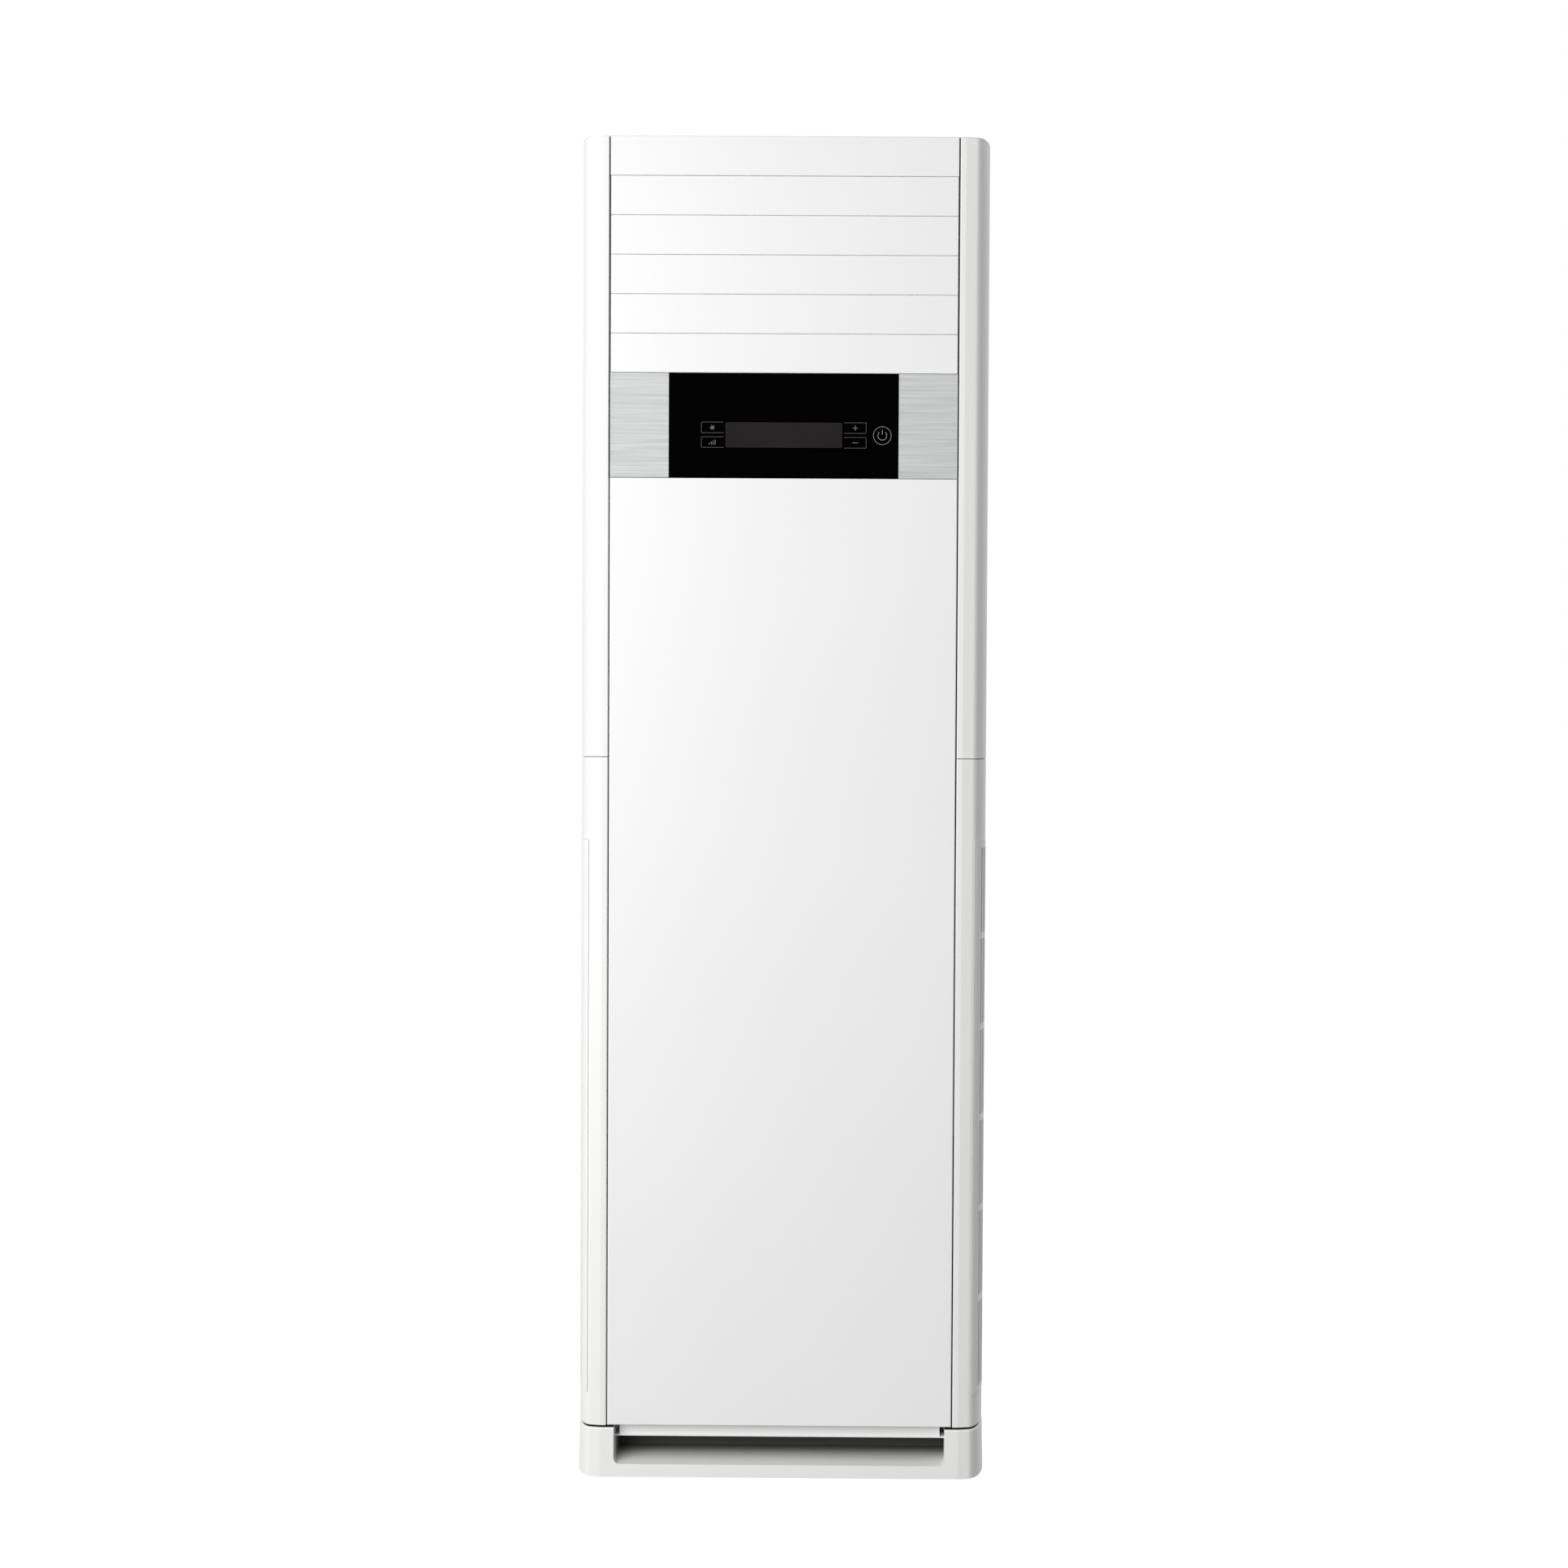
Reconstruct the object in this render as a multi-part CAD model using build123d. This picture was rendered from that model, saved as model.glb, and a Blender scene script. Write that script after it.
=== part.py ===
from build123d import *
import math
import os

# Floor-standing cabinet air conditioner. Millimetres, +Z up, front towards -Y,
# origin on the floor under the middle of the plinth.

# ------------------------------------------------------------------ common sizes
HEIGHT = 1850.0
WIDTH = 566.0
FRONT = -200.0
REAR = 194.0
CORNER_ACROSS = 35.0
CORNER_DEPTH = 64.0
CORNER_FACET = 14.0
CORNER_SLANT = 10.0
REAR_CORNER = 10.0
SHEET = 1.2
MOULDING = 2.5
SEAT = 0.3
RUNNING = 0.06
OVERCUT = 1.0
RIGHT_ANGLE = 90
HALF_TURN = 180
FULL_TURN = 360
HEX_SIDES = 6
SIDE = WIDTH / 2

# ------------------------------------------------------------------ plinth
PAD_HEIGHT = 2.0
PAD_RADIUS = 18.0
PAD_FROM_SIDE = 38.0
PAD_FROM_END = 35.0
BOSS_WALL = 3.0
PLINTH_TOP = 70.0
PLINTH_WALL = 3.0
PLINTH_FOOT_GROW = 2.0
PLINTH_SHOULDER_GROW = 0.6
PLINTH_PAST_REAR = 6.0
PLINTH_EDGE = 2.5
NECK_INSET = 6.0
NECK_HEIGHT = 3.5
RECESS_FROM_SIDE = 53.5
RECESS_FLOOR = 19.5
RECESS_FLOOR_RISE = 9.0
RECESS_DEPTH = 84.0
RECESS_CORNER = 9.0
RECESS_COVE = 24.0
RAIL_SET_BACK = 14.0
RAIL_BELOW_PANEL = 19.0
RAIL_SHELF_DEPTH = 20.0
RAIL_SHELF = 1.6
RAIL_WEB_SHORT = 6.5
PAD_X = SIDE - PAD_FROM_SIDE
PLINTH_REAR = REAR + PLINTH_PAST_REAR
PAD_Y = PLINTH_REAR - PAD_FROM_END
CASE_BOTTOM = PLINTH_TOP + NECK_HEIGHT
RECESS_HALF = SIDE - RECESS_FROM_SIDE
RAIL_BOTTOM = CASE_BOTTOM - RAIL_BELOW_PANEL
RAIL_WEB_HALF = RECESS_HALF - RAIL_WEB_SHORT

# ------------------------------------------------------------------ casing
POST_WIDTH = 42.8
POST_DEPTH = 248.0
POST_RETURN = 20.0
POST_FLANGE = 15.5
POST_FOOT = 12.0
POST_ROUND = 1.2
POST_SEAM_GAP = 1.0
POST_SEAM_BELOW_BAND = 383.5
FLANGE_WIDTH = 17.0
TOP_SKIRT = 18.0
CASE_TOP = HEIGHT - SHEET
POST_EDGE = SIDE - POST_WIDTH
POST_REAR = FRONT + POST_DEPTH
FLANGE_INNER = SIDE - MOULDING - POST_FLANGE
REAR_OUTER = REAR - SHEET
REAR_INNER = REAR_OUTER - SHEET

# ------------------------------------------------------------------ levels of the front, from the top down
FASCIA_HEIGHT = 52.8
LOUVRE_COUNT = 5
LOUVRE_PITCH = 53.7
BAND_HEIGHT = 143.5
DECK_BELOW_OUTLET = 627.5
OUTLET_TOP = CASE_TOP - FASCIA_HEIGHT
OUTLET_BOTTOM = OUTLET_TOP - LOUVRE_COUNT * LOUVRE_PITCH
BAND_BOTTOM = OUTLET_BOTTOM - BAND_HEIGHT
POST_SEAM = BAND_BOTTOM - POST_SEAM_BELOW_BAND
DECK_Z = OUTLET_BOTTOM - DECK_BELOW_OUTLET
DECK_TOP = DECK_Z + SHEET

# ------------------------------------------------------------------ side intake grilles and filters
GRILLE_FROM_SIDE = 16.5
GRILLE_REAR_EDGE = 24.0
GRILLE_ABOVE_CASE = 44.5
GRILLE_BELOW_DECK = 13.5
GRILLE_PROUD = 0.3
GRILLE_SHARPER = 2.0
GRILLE_WALL = 3.0
GRILLE_ROWS = 6
GRILLE_COLUMNS = 22
GRILLE_PITCH = 9.0
GRILLE_SLOT = 4.6
GRILLE_FIRST_SLOT = 16.0
GRILLE_BAR = 9.0
FILTER_FROM_SIDE = 32.0
FILTER_THICK = 6.0
FILTER_BEHIND_FRONT = 50.0
FILTER_BEFORE_REAR = 12.0
FILTER_BORDER = 12.0
FILTER_RIB = 4.0
FILTER_NET = 0.8
FILTER_RIBS_UP = 5
FILTER_TAB = 60.0
RAIL_GROOVE_GAP = 0.4
RAIL_SIDE = 2.1
RAIL_GROOVE_DEPTH = 4.0
RAIL_HEIGHT = 12.0
RAIL_LEDGE = 7.2
RAIL_STOP = 5.0
GRILLE_X = SIDE - GRILLE_FROM_SIDE
GRILLE_REAR = POST_REAR - GRILLE_REAR_EDGE
GRILLE_BOTTOM = CASE_BOTTOM + GRILLE_ABOVE_CASE
GRILLE_TOP = DECK_Z - GRILLE_BELOW_DECK
FILTER_X = SIDE - FILTER_FROM_SIDE
FILTER_FRONT = FRONT + FILTER_BEHIND_FRONT
FILTER_REAR = REAR - FILTER_BEFORE_REAR
RAIL_FRONT = FILTER_FRONT - RAIL_STOP

# ------------------------------------------------------------------ front panel and display
PANEL_GAP = 1.8
PANEL_WALL = 3.0
PANEL_RETURN = 16.0
PANEL_ROUND = 1.4
PANEL_RIBS = 6
PANEL_RIB_DEPTH = 8.0
PANEL_RIB = 2.0
PANEL_SEAM = 0.4
GLASS_WIDTH = 315.0
GLASS_THICK = 3.0
GLASS_EDGE = 0.4
TRIM_THICK = 1.2
BEZEL_DEPTH = 16.0
BEZEL_WALL = 3.0
LCD_WIDTH = 160.0
LCD_HEIGHT = 34.5
LCD_DROP = 12.8
BOARD_THICK = 1.6
BOARD_SET_BACK = 10.0
BOARD_WIDTH = 292.0
BOARD_HEIGHT = 104.0
KEY_ACROSS = 98.0
KEY_SPLIT = 20.0
KEY_DOMES = 3.0
PANEL_HALF = POST_EDGE - PANEL_GAP

# ------------------------------------------------------------------ louvre
LOUVRE_GAP = 0.4
LOUVRE_END_GAP = 2.6
LOUVRE_DEPTH = 9.0
LOUVRE_LIP = 3.2
LOUVRE_ROUND = 0.9
LOUVRE_PIVOT = 6.0
PIN_RADIUS = 2.0
CRANK_PIN = 1.5
CRANK_RADIUS = 14.0
CRANK_ANGLE = -45
CRANK_HUB = 3.2
CRANK_THICK = 3.2
CRANK_FROM_JAMB = 3.0
LINK_THICK = 2.5
LINK_HALF = 3.5
LINK_SPACE = 0.6
DRIVE_BACK = 30.0
JAMB_FROM_BLADE = 0.6
JAMB_WALL = 2.4
OUTLET_SPACE = 0.3
OUTLET_WALL = 2.5
OUTLET_DEPTH = 140.0
FASCIA_RETURN = 12.0
MOTOR_RADIUS = 14.0
MOTOR_LENGTH = 17.0
MOTOR_LUG = 24.0
MOTOR_LUG_THICK = 2.0
MOTOR_LUG_HALF = 4.0
STANDOFF_RADIUS = 3.2
SHAFT_RADIUS = 2.5
SHAFT_LENGTH = 9.0
LOUVRE_HALF = POST_EDGE - LOUVRE_END_GAP
JAMB_INNER = LOUVRE_HALF + JAMB_FROM_BLADE
JAMB_OUTER = JAMB_INNER + JAMB_WALL
CRANK_X = JAMB_OUTER + CRANK_FROM_JAMB
OUTLET_REAR = FRONT + OUTLET_DEPTH

# ------------------------------------------------------------------ upright vanes
VANE_COUNT = 5
VANE_FROM_JAMB = 66.2
VANE_SET_BACK = 48.0
VANE_DEPTH = 60.0
VANE_THICK = 2.0
VANE_SPACE = 1.0
NOTCH_HEIGHT = 12.0
NOTCH_DEPTH = 14.0
NOTCH_PIN = 6.0
VANE_LINK_HALF = 4.0
VANE_LINK_THICK = 3.0
VANE_LINK_END = 8.0
VANE_PITCH = 2 * (JAMB_INNER - VANE_FROM_JAMB) / (VANE_COUNT - 1)
VANE_FRONT = FRONT + VANE_SET_BACK
VANE_PIVOT = VANE_FRONT + VANE_DEPTH / 2

# ------------------------------------------------------------------ air path
DECK_SET_BACK = 19.0
DECK_PAST_CORNER = 2.0
DUCT_CLEAR = 0.6
DUCT_WALL = 8.0
DUCT_COVE = 120.0
INSULATION = 8.0
COIL_FROM_SIDE = 78.0
COIL_LENGTH = 600.0
COIL_THICK = 44.0
COIL_SET_BACK = 82.0
COIL_FROM_REAR = 27.917
TUBE_RADIUS = 4.76
TUBE_ROWS = 2
TUBES_PER_ROW = 16
TUBE_EDGE = 30.0
TUBE_ROW_GAP = 22.0
TUBE_STUB = 2.0
TUBE_TAIL = 18.0
PAN_SET_BACK = 29.0
PAN_DEPTH = 101.0
PAN_PAST_COIL = 31.0
PAN_HEIGHT = 46.0
SPIGOT_SET_BACK = 80.0
SPIGOT_RADIUS = 8.0
SPIGOT_LENGTH = 28.0
HOSE_RADIUS = 10.0
HOSE_WALL = 1.9
HOSE_ABOVE_CASE = 36.5
HOSE_BEND = 60.0
CUFF_RADIUS = 8.5
CUFF_WALL = 1.7
CUFF_LENGTH = 14.0
DECK_FRONT = FRONT + DECK_SET_BACK
DECK_STEP = FRONT + CORNER_DEPTH + DECK_PAST_CORNER
DECK_SIDE = SIDE - MOULDING - SEAT
DUCT_HALF = JAMB_OUTER - DUCT_CLEAR
COIL_HALF = SIDE - COIL_FROM_SIDE
COIL_FOOT_Y = FRONT + COIL_SET_BACK
COIL_LEAN = REAR_INNER - COIL_FROM_REAR - COIL_FOOT_Y
TUBE_PITCH = (COIL_LENGTH - 2 * TUBE_EDGE) / (TUBES_PER_ROW - 1)
PAN_FRONT = FRONT + PAN_SET_BACK
PAN_REAR = PAN_FRONT + PAN_DEPTH
PAN_HALF = COIL_HALF + PAN_PAST_COIL
SPIGOT_X = COIL_HALF
SPIGOT_Y = FRONT + SPIGOT_SET_BACK
HOSE_Z = CASE_BOTTOM + HOSE_ABOVE_CASE
HOSE_END_Y = PLINTH_REAR

# ------------------------------------------------------------------ refrigerant pipes
GAS_RADIUS = 7.94
LIQUID_RADIUS = 4.76
GAS_DROP_INSIDE = 25.0
LIQUID_DROP_INSIDE = 65.0
GAS_REACH = 37.0
LIQUID_REACH = 31.0
GAS_CROSS_ABOVE_DECK = 60.0
LIQUID_CROSS_ABOVE_DECK = 85.0
PIPE_END_ABOVE_CASE = 206.5
PIPE_BEND = 19.0
UNION_NOSE = 20.0
UNION_SHOULDER = 2.0
UNION_HEX = 9.0
UNION_SOCKET = 11.0
GAS_NOSE = 11.11
GAS_FLOW = 6.2
GAS_HEX = 15.0
LIQUID_NOSE = 7.94
LIQUID_FLOW = 3.2
LIQUID_HEX = 11.0
TUBE_END = COIL_HALF + TUBE_STUB + TUBE_TAIL
GAS_DROP_X = COIL_HALF - GAS_DROP_INSIDE
LIQUID_DROP_X = COIL_HALF - LIQUID_DROP_INSIDE
GAS_OUT_X = TUBE_END + GAS_REACH
LIQUID_OUT_X = TUBE_END + LIQUID_REACH
GAS_CROSS_Z = DECK_Z + GAS_CROSS_ABOVE_DECK
LIQUID_CROSS_Z = DECK_Z + LIQUID_CROSS_ABOVE_DECK
PIPE_END_Z = CASE_BOTTOM + PIPE_END_ABOVE_CASE

# ------------------------------------------------------------------ blower
FAN_X = -22.0
FAN_BELOW_DECK = 340.0
FAN_RADIUS = 165.0
FAN_EYE = 132.0
FAN_DISC = 2.0
FAN_BLADES = 40
FAN_BLADE = 1.5
FAN_BLADE_MID = 150.0
FAN_BLADE_SWEEP = 3.0
HUB_RADIUS = 22.0
HUB_LENGTH = 24.0
FAN_SHAFT = 6.0
FAN_SHAFT_LENGTH = 100.0
FAN_SHAFT_PAST_HUB = 10.0
FAN_NUT = 11.0
FAN_NUT_THICK = 7.0
VOLUTE_FIRST = 190.0
VOLUTE_STEP = 22.0
VOLUTE_FROM_REAR = 91.6
VOLUTE_DEPTH = 170.0
VOLUTE_FLANGE = 10.0
FAN_TO_INLET = 10.0
FAN_TO_BACK = 16.0
INLET_THROAT = 105.0
INLET_LIP = 14.0
BACK_HOLE = 26.0
BRACKET_RADIUS = 96.0
BRACKET_THICK = 2.0
BRACKET_HOLE = 20.0
FAN_MOTOR_RADIUS = 70.0
FAN_MOTOR_LENGTH = 78.0
FAN_MOTOR_EDGE = 8.0
FAN_MOTOR_BAND = 3.0
FAN_Z = DECK_Z - FAN_BELOW_DECK
VOLUTE_BACK = REAR_INNER - VOLUTE_FROM_REAR
VOLUTE_FRONT = VOLUTE_BACK - VOLUTE_DEPTH
FAN_FRONT = VOLUTE_FRONT + FAN_TO_INLET
FAN_BACK = VOLUTE_BACK - FAN_TO_BACK
FAN_SHAFT_FRONT = FAN_BACK - HUB_LENGTH - FAN_SHAFT_PAST_HUB
FAN_SHAFT_REAR = FAN_SHAFT_FRONT + FAN_SHAFT_LENGTH

# ------------------------------------------------------------------ electrics
BOX_WIDTH = 300.0
BOX_HEIGHT = 160.0
BOX_BELOW_DECK = 18.0
BOX_SET_BACK = 22.0
BOX_DEPTH = 92.0
BOX_LUG = 20.0
BOX_LUG_X = 120.0
COVER_THICK = 1.0
COVER_LIP = 12.0
PCB_MARGIN = 20.0
PCB_THICK = 1.6
PCB_STANDOFF = 8.0
TRANSFORMER_SIDE = 50.0
TRANSFORMER_DEPTH = 42.0
CAPACITOR_RADIUS = 17.0
CAPACITOR_LENGTH = 55.0
RELAY_COUNT = 4
RELAY_WIDTH = 18.0
RELAY_HEIGHT = 25.0
RELAY_DEPTH = 20.0
RELAY_PITCH = 25.0
TERMINAL_COUNT = 8
TERMINAL_PITCH = 16.0
TERMINAL_SLOT = 10.0
TERMINAL_HEIGHT = 24.0
TERMINAL_DEPTH = 26.0
TERMINAL_DROP = 36.0
BOX_HALF = BOX_WIDTH / 2
BOX_TOP = DECK_Z - BOX_BELOW_DECK
BOX_BOTTOM = BOX_TOP - BOX_HEIGHT
BOX_FRONT = FRONT + BOX_SET_BACK
BOX_REAR = BOX_FRONT + BOX_DEPTH

# ------------------------------------------------------------------ rear fittings
PIPE_HOLE_FROM_SIDE = 123.0
PIPE_HOLE_ABOVE_CASE = 76.5
PIPE_HOLE = 35.0
GROMMET_BORE = 30.0
GROMMET_RIM = 40.0
GROMMET_LENGTH = 8.0
GLAND_FROM_SIDE = 103.0
GLAND_ABOVE_CASE = 56.5
GLAND_THREAD = 8.0
GLAND_BORE = 5.0
GLAND_HEX = 12.0
GLAND_OUT = 8.0
GLAND_IN = 10.0
WALL_BRACKET_WIDTH = 220.0
WALL_BRACKET_FOOT_DROP = 72.0
WALL_BRACKET_STEP_DROP = 50.0
WALL_BRACKET_TOP_DROP = 14.0
WALL_BRACKET_PAST_PLINTH = 2.0
WALL_BRACKET_PLATE = 2.0
WALL_HOLE = 4.5
WALL_HOLE_SPACING = 160.0
SCREW_HEAD = 4.0
SCREW_HEAD_HEIGHT = 2.2
SCREW_SHANK = 2.0
SCREW_LENGTH = 6.0
SCREW_FROM_SIDE = 9.0
SCREW_ROWS = 7
SCREW_MARGIN = 60.0
PIPE_HOLE_X = SIDE - PIPE_HOLE_FROM_SIDE
PIPE_HOLE_Z = CASE_BOTTOM + PIPE_HOLE_ABOVE_CASE
GLAND_X = GLAND_FROM_SIDE - SIDE
GLAND_Z = CASE_BOTTOM + GLAND_ABOVE_CASE
BRACKET_WIDE = WALL_BRACKET_WIDTH / 2
WALL_BRACKET_FOOT = HEIGHT - WALL_BRACKET_FOOT_DROP
WALL_BRACKET_STEP = HEIGHT - WALL_BRACKET_STEP_DROP
WALL_BRACKET_TOP = HEIGHT - WALL_BRACKET_TOP_DROP
WALL_BRACKET_OUT = PLINTH_REAR + WALL_BRACKET_PAST_PLINTH
SCREW_X = SIDE - SCREW_FROM_SIDE


# ------------------------------------------------------------------ helpers
def block(x0, x1, y0, y1, z0, z1):
    """Straight block between two opposite corners."""
    middle = Pos((x0 + x1) / 2, (y0 + y1) / 2, (z0 + z1) / 2)
    return middle * Box(x1 - x0, y1 - y0, z1 - z0)


def rod_x(x0, x1, y, z, radius):
    """Round bar along X."""
    return Pos((x0 + x1) / 2, y, z) * Rot(0, RIGHT_ANGLE, 0) * Cylinder(radius, x1 - x0)


def rod_y(x, y0, y1, z, radius):
    """Round bar along Y."""
    return Pos(x, (y0 + y1) / 2, z) * Rot(RIGHT_ANGLE, 0, 0) * Cylinder(radius, y1 - y0)


def rod_z(x, y, z0, z1, radius):
    """Round bar along Z."""
    return Pos(x, y, (z0 + z1) / 2) * Cylinder(radius, z1 - z0)


def other_side(shape):
    """The same piece for the left half."""
    return mirror(shape, about=Plane.YZ)


def plan_outline(grow=0.0, rear=REAR, sharper=0.0):
    """Plan of the casing: a slanted facet and an elliptical arc at each front corner, small arcs behind."""
    slant = math.radians(CORNER_SLANT)
    half = SIDE + grow
    front = FRONT - grow
    back = rear + grow
    turn = max(REAR_CORNER + grow, SHEET)
    crease = SIDE - CORNER_ACROSS + grow * math.tan(slant / 2)
    facet = CORNER_FACET + sharper
    facet_x = SIDE - CORNER_ACROSS + facet + grow * math.sin(slant)
    facet_y = FRONT + facet * math.tan(slant) - grow * math.cos(slant)
    shoulder = FRONT + CORNER_DEPTH - sharper
    # the arc leaves the facet at the facet's own slant and ends straight backwards
    lean = math.tan(slant) * (half - facet_x) / (shoulder - facet_y)
    first = lean / (1 - lean)
    across = (half - facet_x) / (1 - first)
    depth = (shoulder - facet_y) / math.sqrt(1 - first**2)
    begin = math.degrees(math.asin(first))
    centre = half - across
    sweep_angle = RIGHT_ANGLE - begin
    edges = [
        Line((-crease, front), (crease, front)),
        Line((crease, front), (facet_x, facet_y)),
        EllipticalCenterArc((centre, shoulder), across, depth, begin - RIGHT_ANGLE, arc_size=sweep_angle),
        Line((half, shoulder), (half, back - turn)),
        CenterArc((half - turn, back - turn), turn, 0, RIGHT_ANGLE),
        Line((half - turn, back), (turn - half, back)),
        CenterArc((turn - half, back - turn), turn, RIGHT_ANGLE, RIGHT_ANGLE),
        Line((-half, back - turn), (-half, shoulder)),
        EllipticalCenterArc((-centre, shoulder), across, depth, HALF_TURN, arc_size=sweep_angle),
        Line((-facet_x, facet_y), (-crease, front)),
    ]
    return make_face(edges)


def slab(outline, z0, z1):
    """Plan outline raised from one height to another."""
    return Pos(0, 0, z0) * extrude(outline, z1 - z0)


def side_profile(points, half):
    """Closed outline in Y and Z, carried evenly to both sides."""
    face = make_face(Polyline(*points, close=True))
    return extrude(Plane.YZ * face, half, both=True)


# ------------------------------------------------------------------ plinth and feet
def recess_tool(grow):
    """Scoop under the front panel, with rounded lower corners and a coved floor."""
    half = RECESS_HALF + grow
    floor = RECESS_FLOOR - grow
    back = FRONT + RECESS_DEPTH + grow
    top = CASE_BOTTOM + OVERCUT
    mouth = FRONT - PLINTH_FOOT_GROW - OVERCUT
    front_view = RectangleRounded(2 * half, 2 * (top - floor), RECESS_CORNER + grow)
    upright = Plane.XZ.offset(-back) * Pos(0, top) * front_view
    tube = extrude(upright, back - mouth) & block(-half, half, mouth, back, floor, top)
    rise = floor + RECESS_FLOOR_RISE
    cove = rise + RECESS_COVE
    corner = [(mouth, floor), (back - RECESS_COVE, rise), (back, cove), (back, top), (mouth, top)]
    return tube & side_profile(corner, half)


def make_base_plinth():
    """Hollow moulding open below, with the scoop, its cross rail and four foot bosses."""
    foot = Pos(0, 0, PAD_HEIGHT) * plan_outline(PLINTH_FOOT_GROW, PLINTH_REAR)
    shoulder = Pos(0, 0, PLINTH_TOP) * plan_outline(PLINTH_SHOULDER_GROW, PLINTH_REAR)
    outer = loft([foot, shoulder])
    rim = outer.edges().group_by(Axis.Z)[-1]
    outer = fillet(rim, PLINTH_EDGE)
    cavity = slab(plan_outline(-PLINTH_WALL, PLINTH_REAR), PAD_HEIGHT, PLINTH_TOP - PLINTH_WALL)
    shell = outer - cavity
    shell += slab(plan_outline(-NECK_INSET, PLINTH_REAR), PLINTH_TOP - PLINTH_WALL, CASE_BOTTOM)
    for x in (-PAD_X, PAD_X):
        for y in (-PAD_Y, PAD_Y):
            shell += rod_z(x, y, PAD_HEIGHT, PLINTH_TOP, PAD_RADIUS + BOSS_WALL)
    shell += recess_tool(PLINTH_WALL) & outer
    shell -= recess_tool(0)
    rail_front = FRONT + RAIL_SET_BACK
    shelf_top = RAIL_BOTTOM + RAIL_SHELF
    rail_back = rail_front + RAIL_SHELF_DEPTH
    shell += block(-RECESS_HALF, RECESS_HALF, rail_front, rail_back, RAIL_BOTTOM, shelf_top)
    web_back = rail_front + RAIL_SHELF * 2
    shell += block(-RAIL_WEB_HALF, RAIL_WEB_HALF, rail_front + RAIL_SHELF, web_back, shelf_top, CASE_BOTTOM)
    return shell


def make_base_pads():
    """Four rubber feet."""
    pads = []
    for x in (-PAD_X, PAD_X):
        for y in (-PAD_Y, PAD_Y):
            pads.append(rod_z(x, y, 0, PAD_HEIGHT, PAD_RADIUS))
    return pads


# ------------------------------------------------------------------ posts, side sheets, rear, top
def post_shell(z0, z1):
    """Right-hand corner moulding with the flange that the side sheet screws to."""
    ring = plan_outline() - plan_outline(-MOULDING)
    reach = block(POST_EDGE, SIDE + OVERCUT, FRONT - OVERCUT, POST_REAR, z0, z1)
    shell = slab(ring, z0, z1) & reach
    shell += block(FLANGE_INNER, SIDE - MOULDING, POST_REAR - MOULDING, POST_REAR, z0, z1)
    return shell


def soften_post(post):
    """Rounds the long front edge beside the panels."""
    near = [e for e in post.edges().filter_by(Axis.Z) if abs(e.center().X - POST_EDGE) < SEAT]
    front = [e for e in near if abs(e.center().Y - FRONT) < SEAT]
    return fillet(front, POST_ROUND)


def make_upper_post():
    """Upper corner moulding; its inner return stops below the louvre cranks."""
    z0 = POST_SEAM + POST_SEAM_GAP / 2
    post = post_shell(z0, CASE_TOP)
    stop = OUTLET_BOTTOM - OUTLET_WALL - MOULDING
    inner = POST_EDGE + MOULDING
    post += block(POST_EDGE, inner, FRONT + MOULDING / 2, FRONT + POST_RETURN, z0, stop)
    return soften_post(post)


def make_lower_post():
    """Lower corner moulding with its foot flange and the window for the intake grille."""
    z1 = POST_SEAM - POST_SEAM_GAP / 2
    post = post_shell(CASE_BOTTOM, z1)
    inner = POST_EDGE + MOULDING
    post += block(POST_EDGE, inner, FRONT + MOULDING / 2, FRONT + POST_RETURN, CASE_BOTTOM, z1)
    sole = plan_outline(-MOULDING / 2) - plan_outline(-MOULDING - POST_FOOT)
    foot = slab(sole, CASE_BOTTOM, CASE_BOTTOM + MOULDING)
    post += foot & block(inner, SIDE, FRONT, POST_REAR - MOULDING, CASE_BOTTOM, z1)
    window = block(GRILLE_X, SIDE + OVERCUT, FRONT, GRILLE_REAR, GRILLE_BOTTOM, GRILLE_TOP)
    return soften_post(post - window)


def make_intake_grille():
    """Slotted grille that wraps the corner and fills the window in the lower post."""
    outer = plan_outline(GRILLE_PROUD, sharper=GRILLE_SHARPER)
    ring = outer - plan_outline(GRILLE_PROUD - GRILLE_WALL, sharper=GRILLE_SHARPER)
    z0 = GRILLE_BOTTOM + SEAT
    z1 = GRILLE_TOP - SEAT
    side = SIDE + OVERCUT
    window = block(GRILLE_X + SEAT, side, FRONT - OVERCUT, GRILLE_REAR - SEAT, z0, z1)
    grille = slab(ring, z0, z1) & window
    row_pitch = (z1 - z0 - GRILLE_BAR) / GRILLE_ROWS
    slots = []
    for row in range(GRILLE_ROWS):
        low = z0 + GRILLE_BAR + row * row_pitch
        for column in range(GRILLE_COLUMNS):
            y = FRONT + GRILLE_FIRST_SLOT + column * GRILLE_PITCH
            left = GRILLE_X + MOULDING
            slots.append(block(left, side, y, y + GRILLE_SLOT, low, low + row_pitch - GRILLE_BAR))
    return grille - slots


def make_side_panel():
    """Folded steel side sheet behind the post, flanged on all four edges."""
    y0 = POST_REAR + SEAT
    outer = SIDE
    inner = outer - SHEET
    flange = outer - FLANGE_WIDTH
    panel = block(inner, outer, y0, REAR, CASE_BOTTOM, CASE_TOP)
    panel += block(flange, inner, y0, y0 + SHEET, CASE_BOTTOM, CASE_TOP)
    panel += block(flange, inner, REAR - SHEET, REAR, CASE_BOTTOM, CASE_TOP)
    panel += block(flange, inner, y0, REAR, CASE_BOTTOM, CASE_BOTTOM + SHEET)
    panel += block(flange, inner, y0, REAR, CASE_TOP - SHEET, CASE_TOP)
    return panel - screw_holes()


def screw_places():
    """Places of the rear panel screws, both sides, evenly spaced up the height."""
    low = CASE_BOTTOM + SCREW_MARGIN
    step = (CASE_TOP - SCREW_MARGIN - low) / (SCREW_ROWS - 1)
    return [(side * SCREW_X, low + row * step) for side in (-1, 1) for row in range(SCREW_ROWS)]


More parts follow.
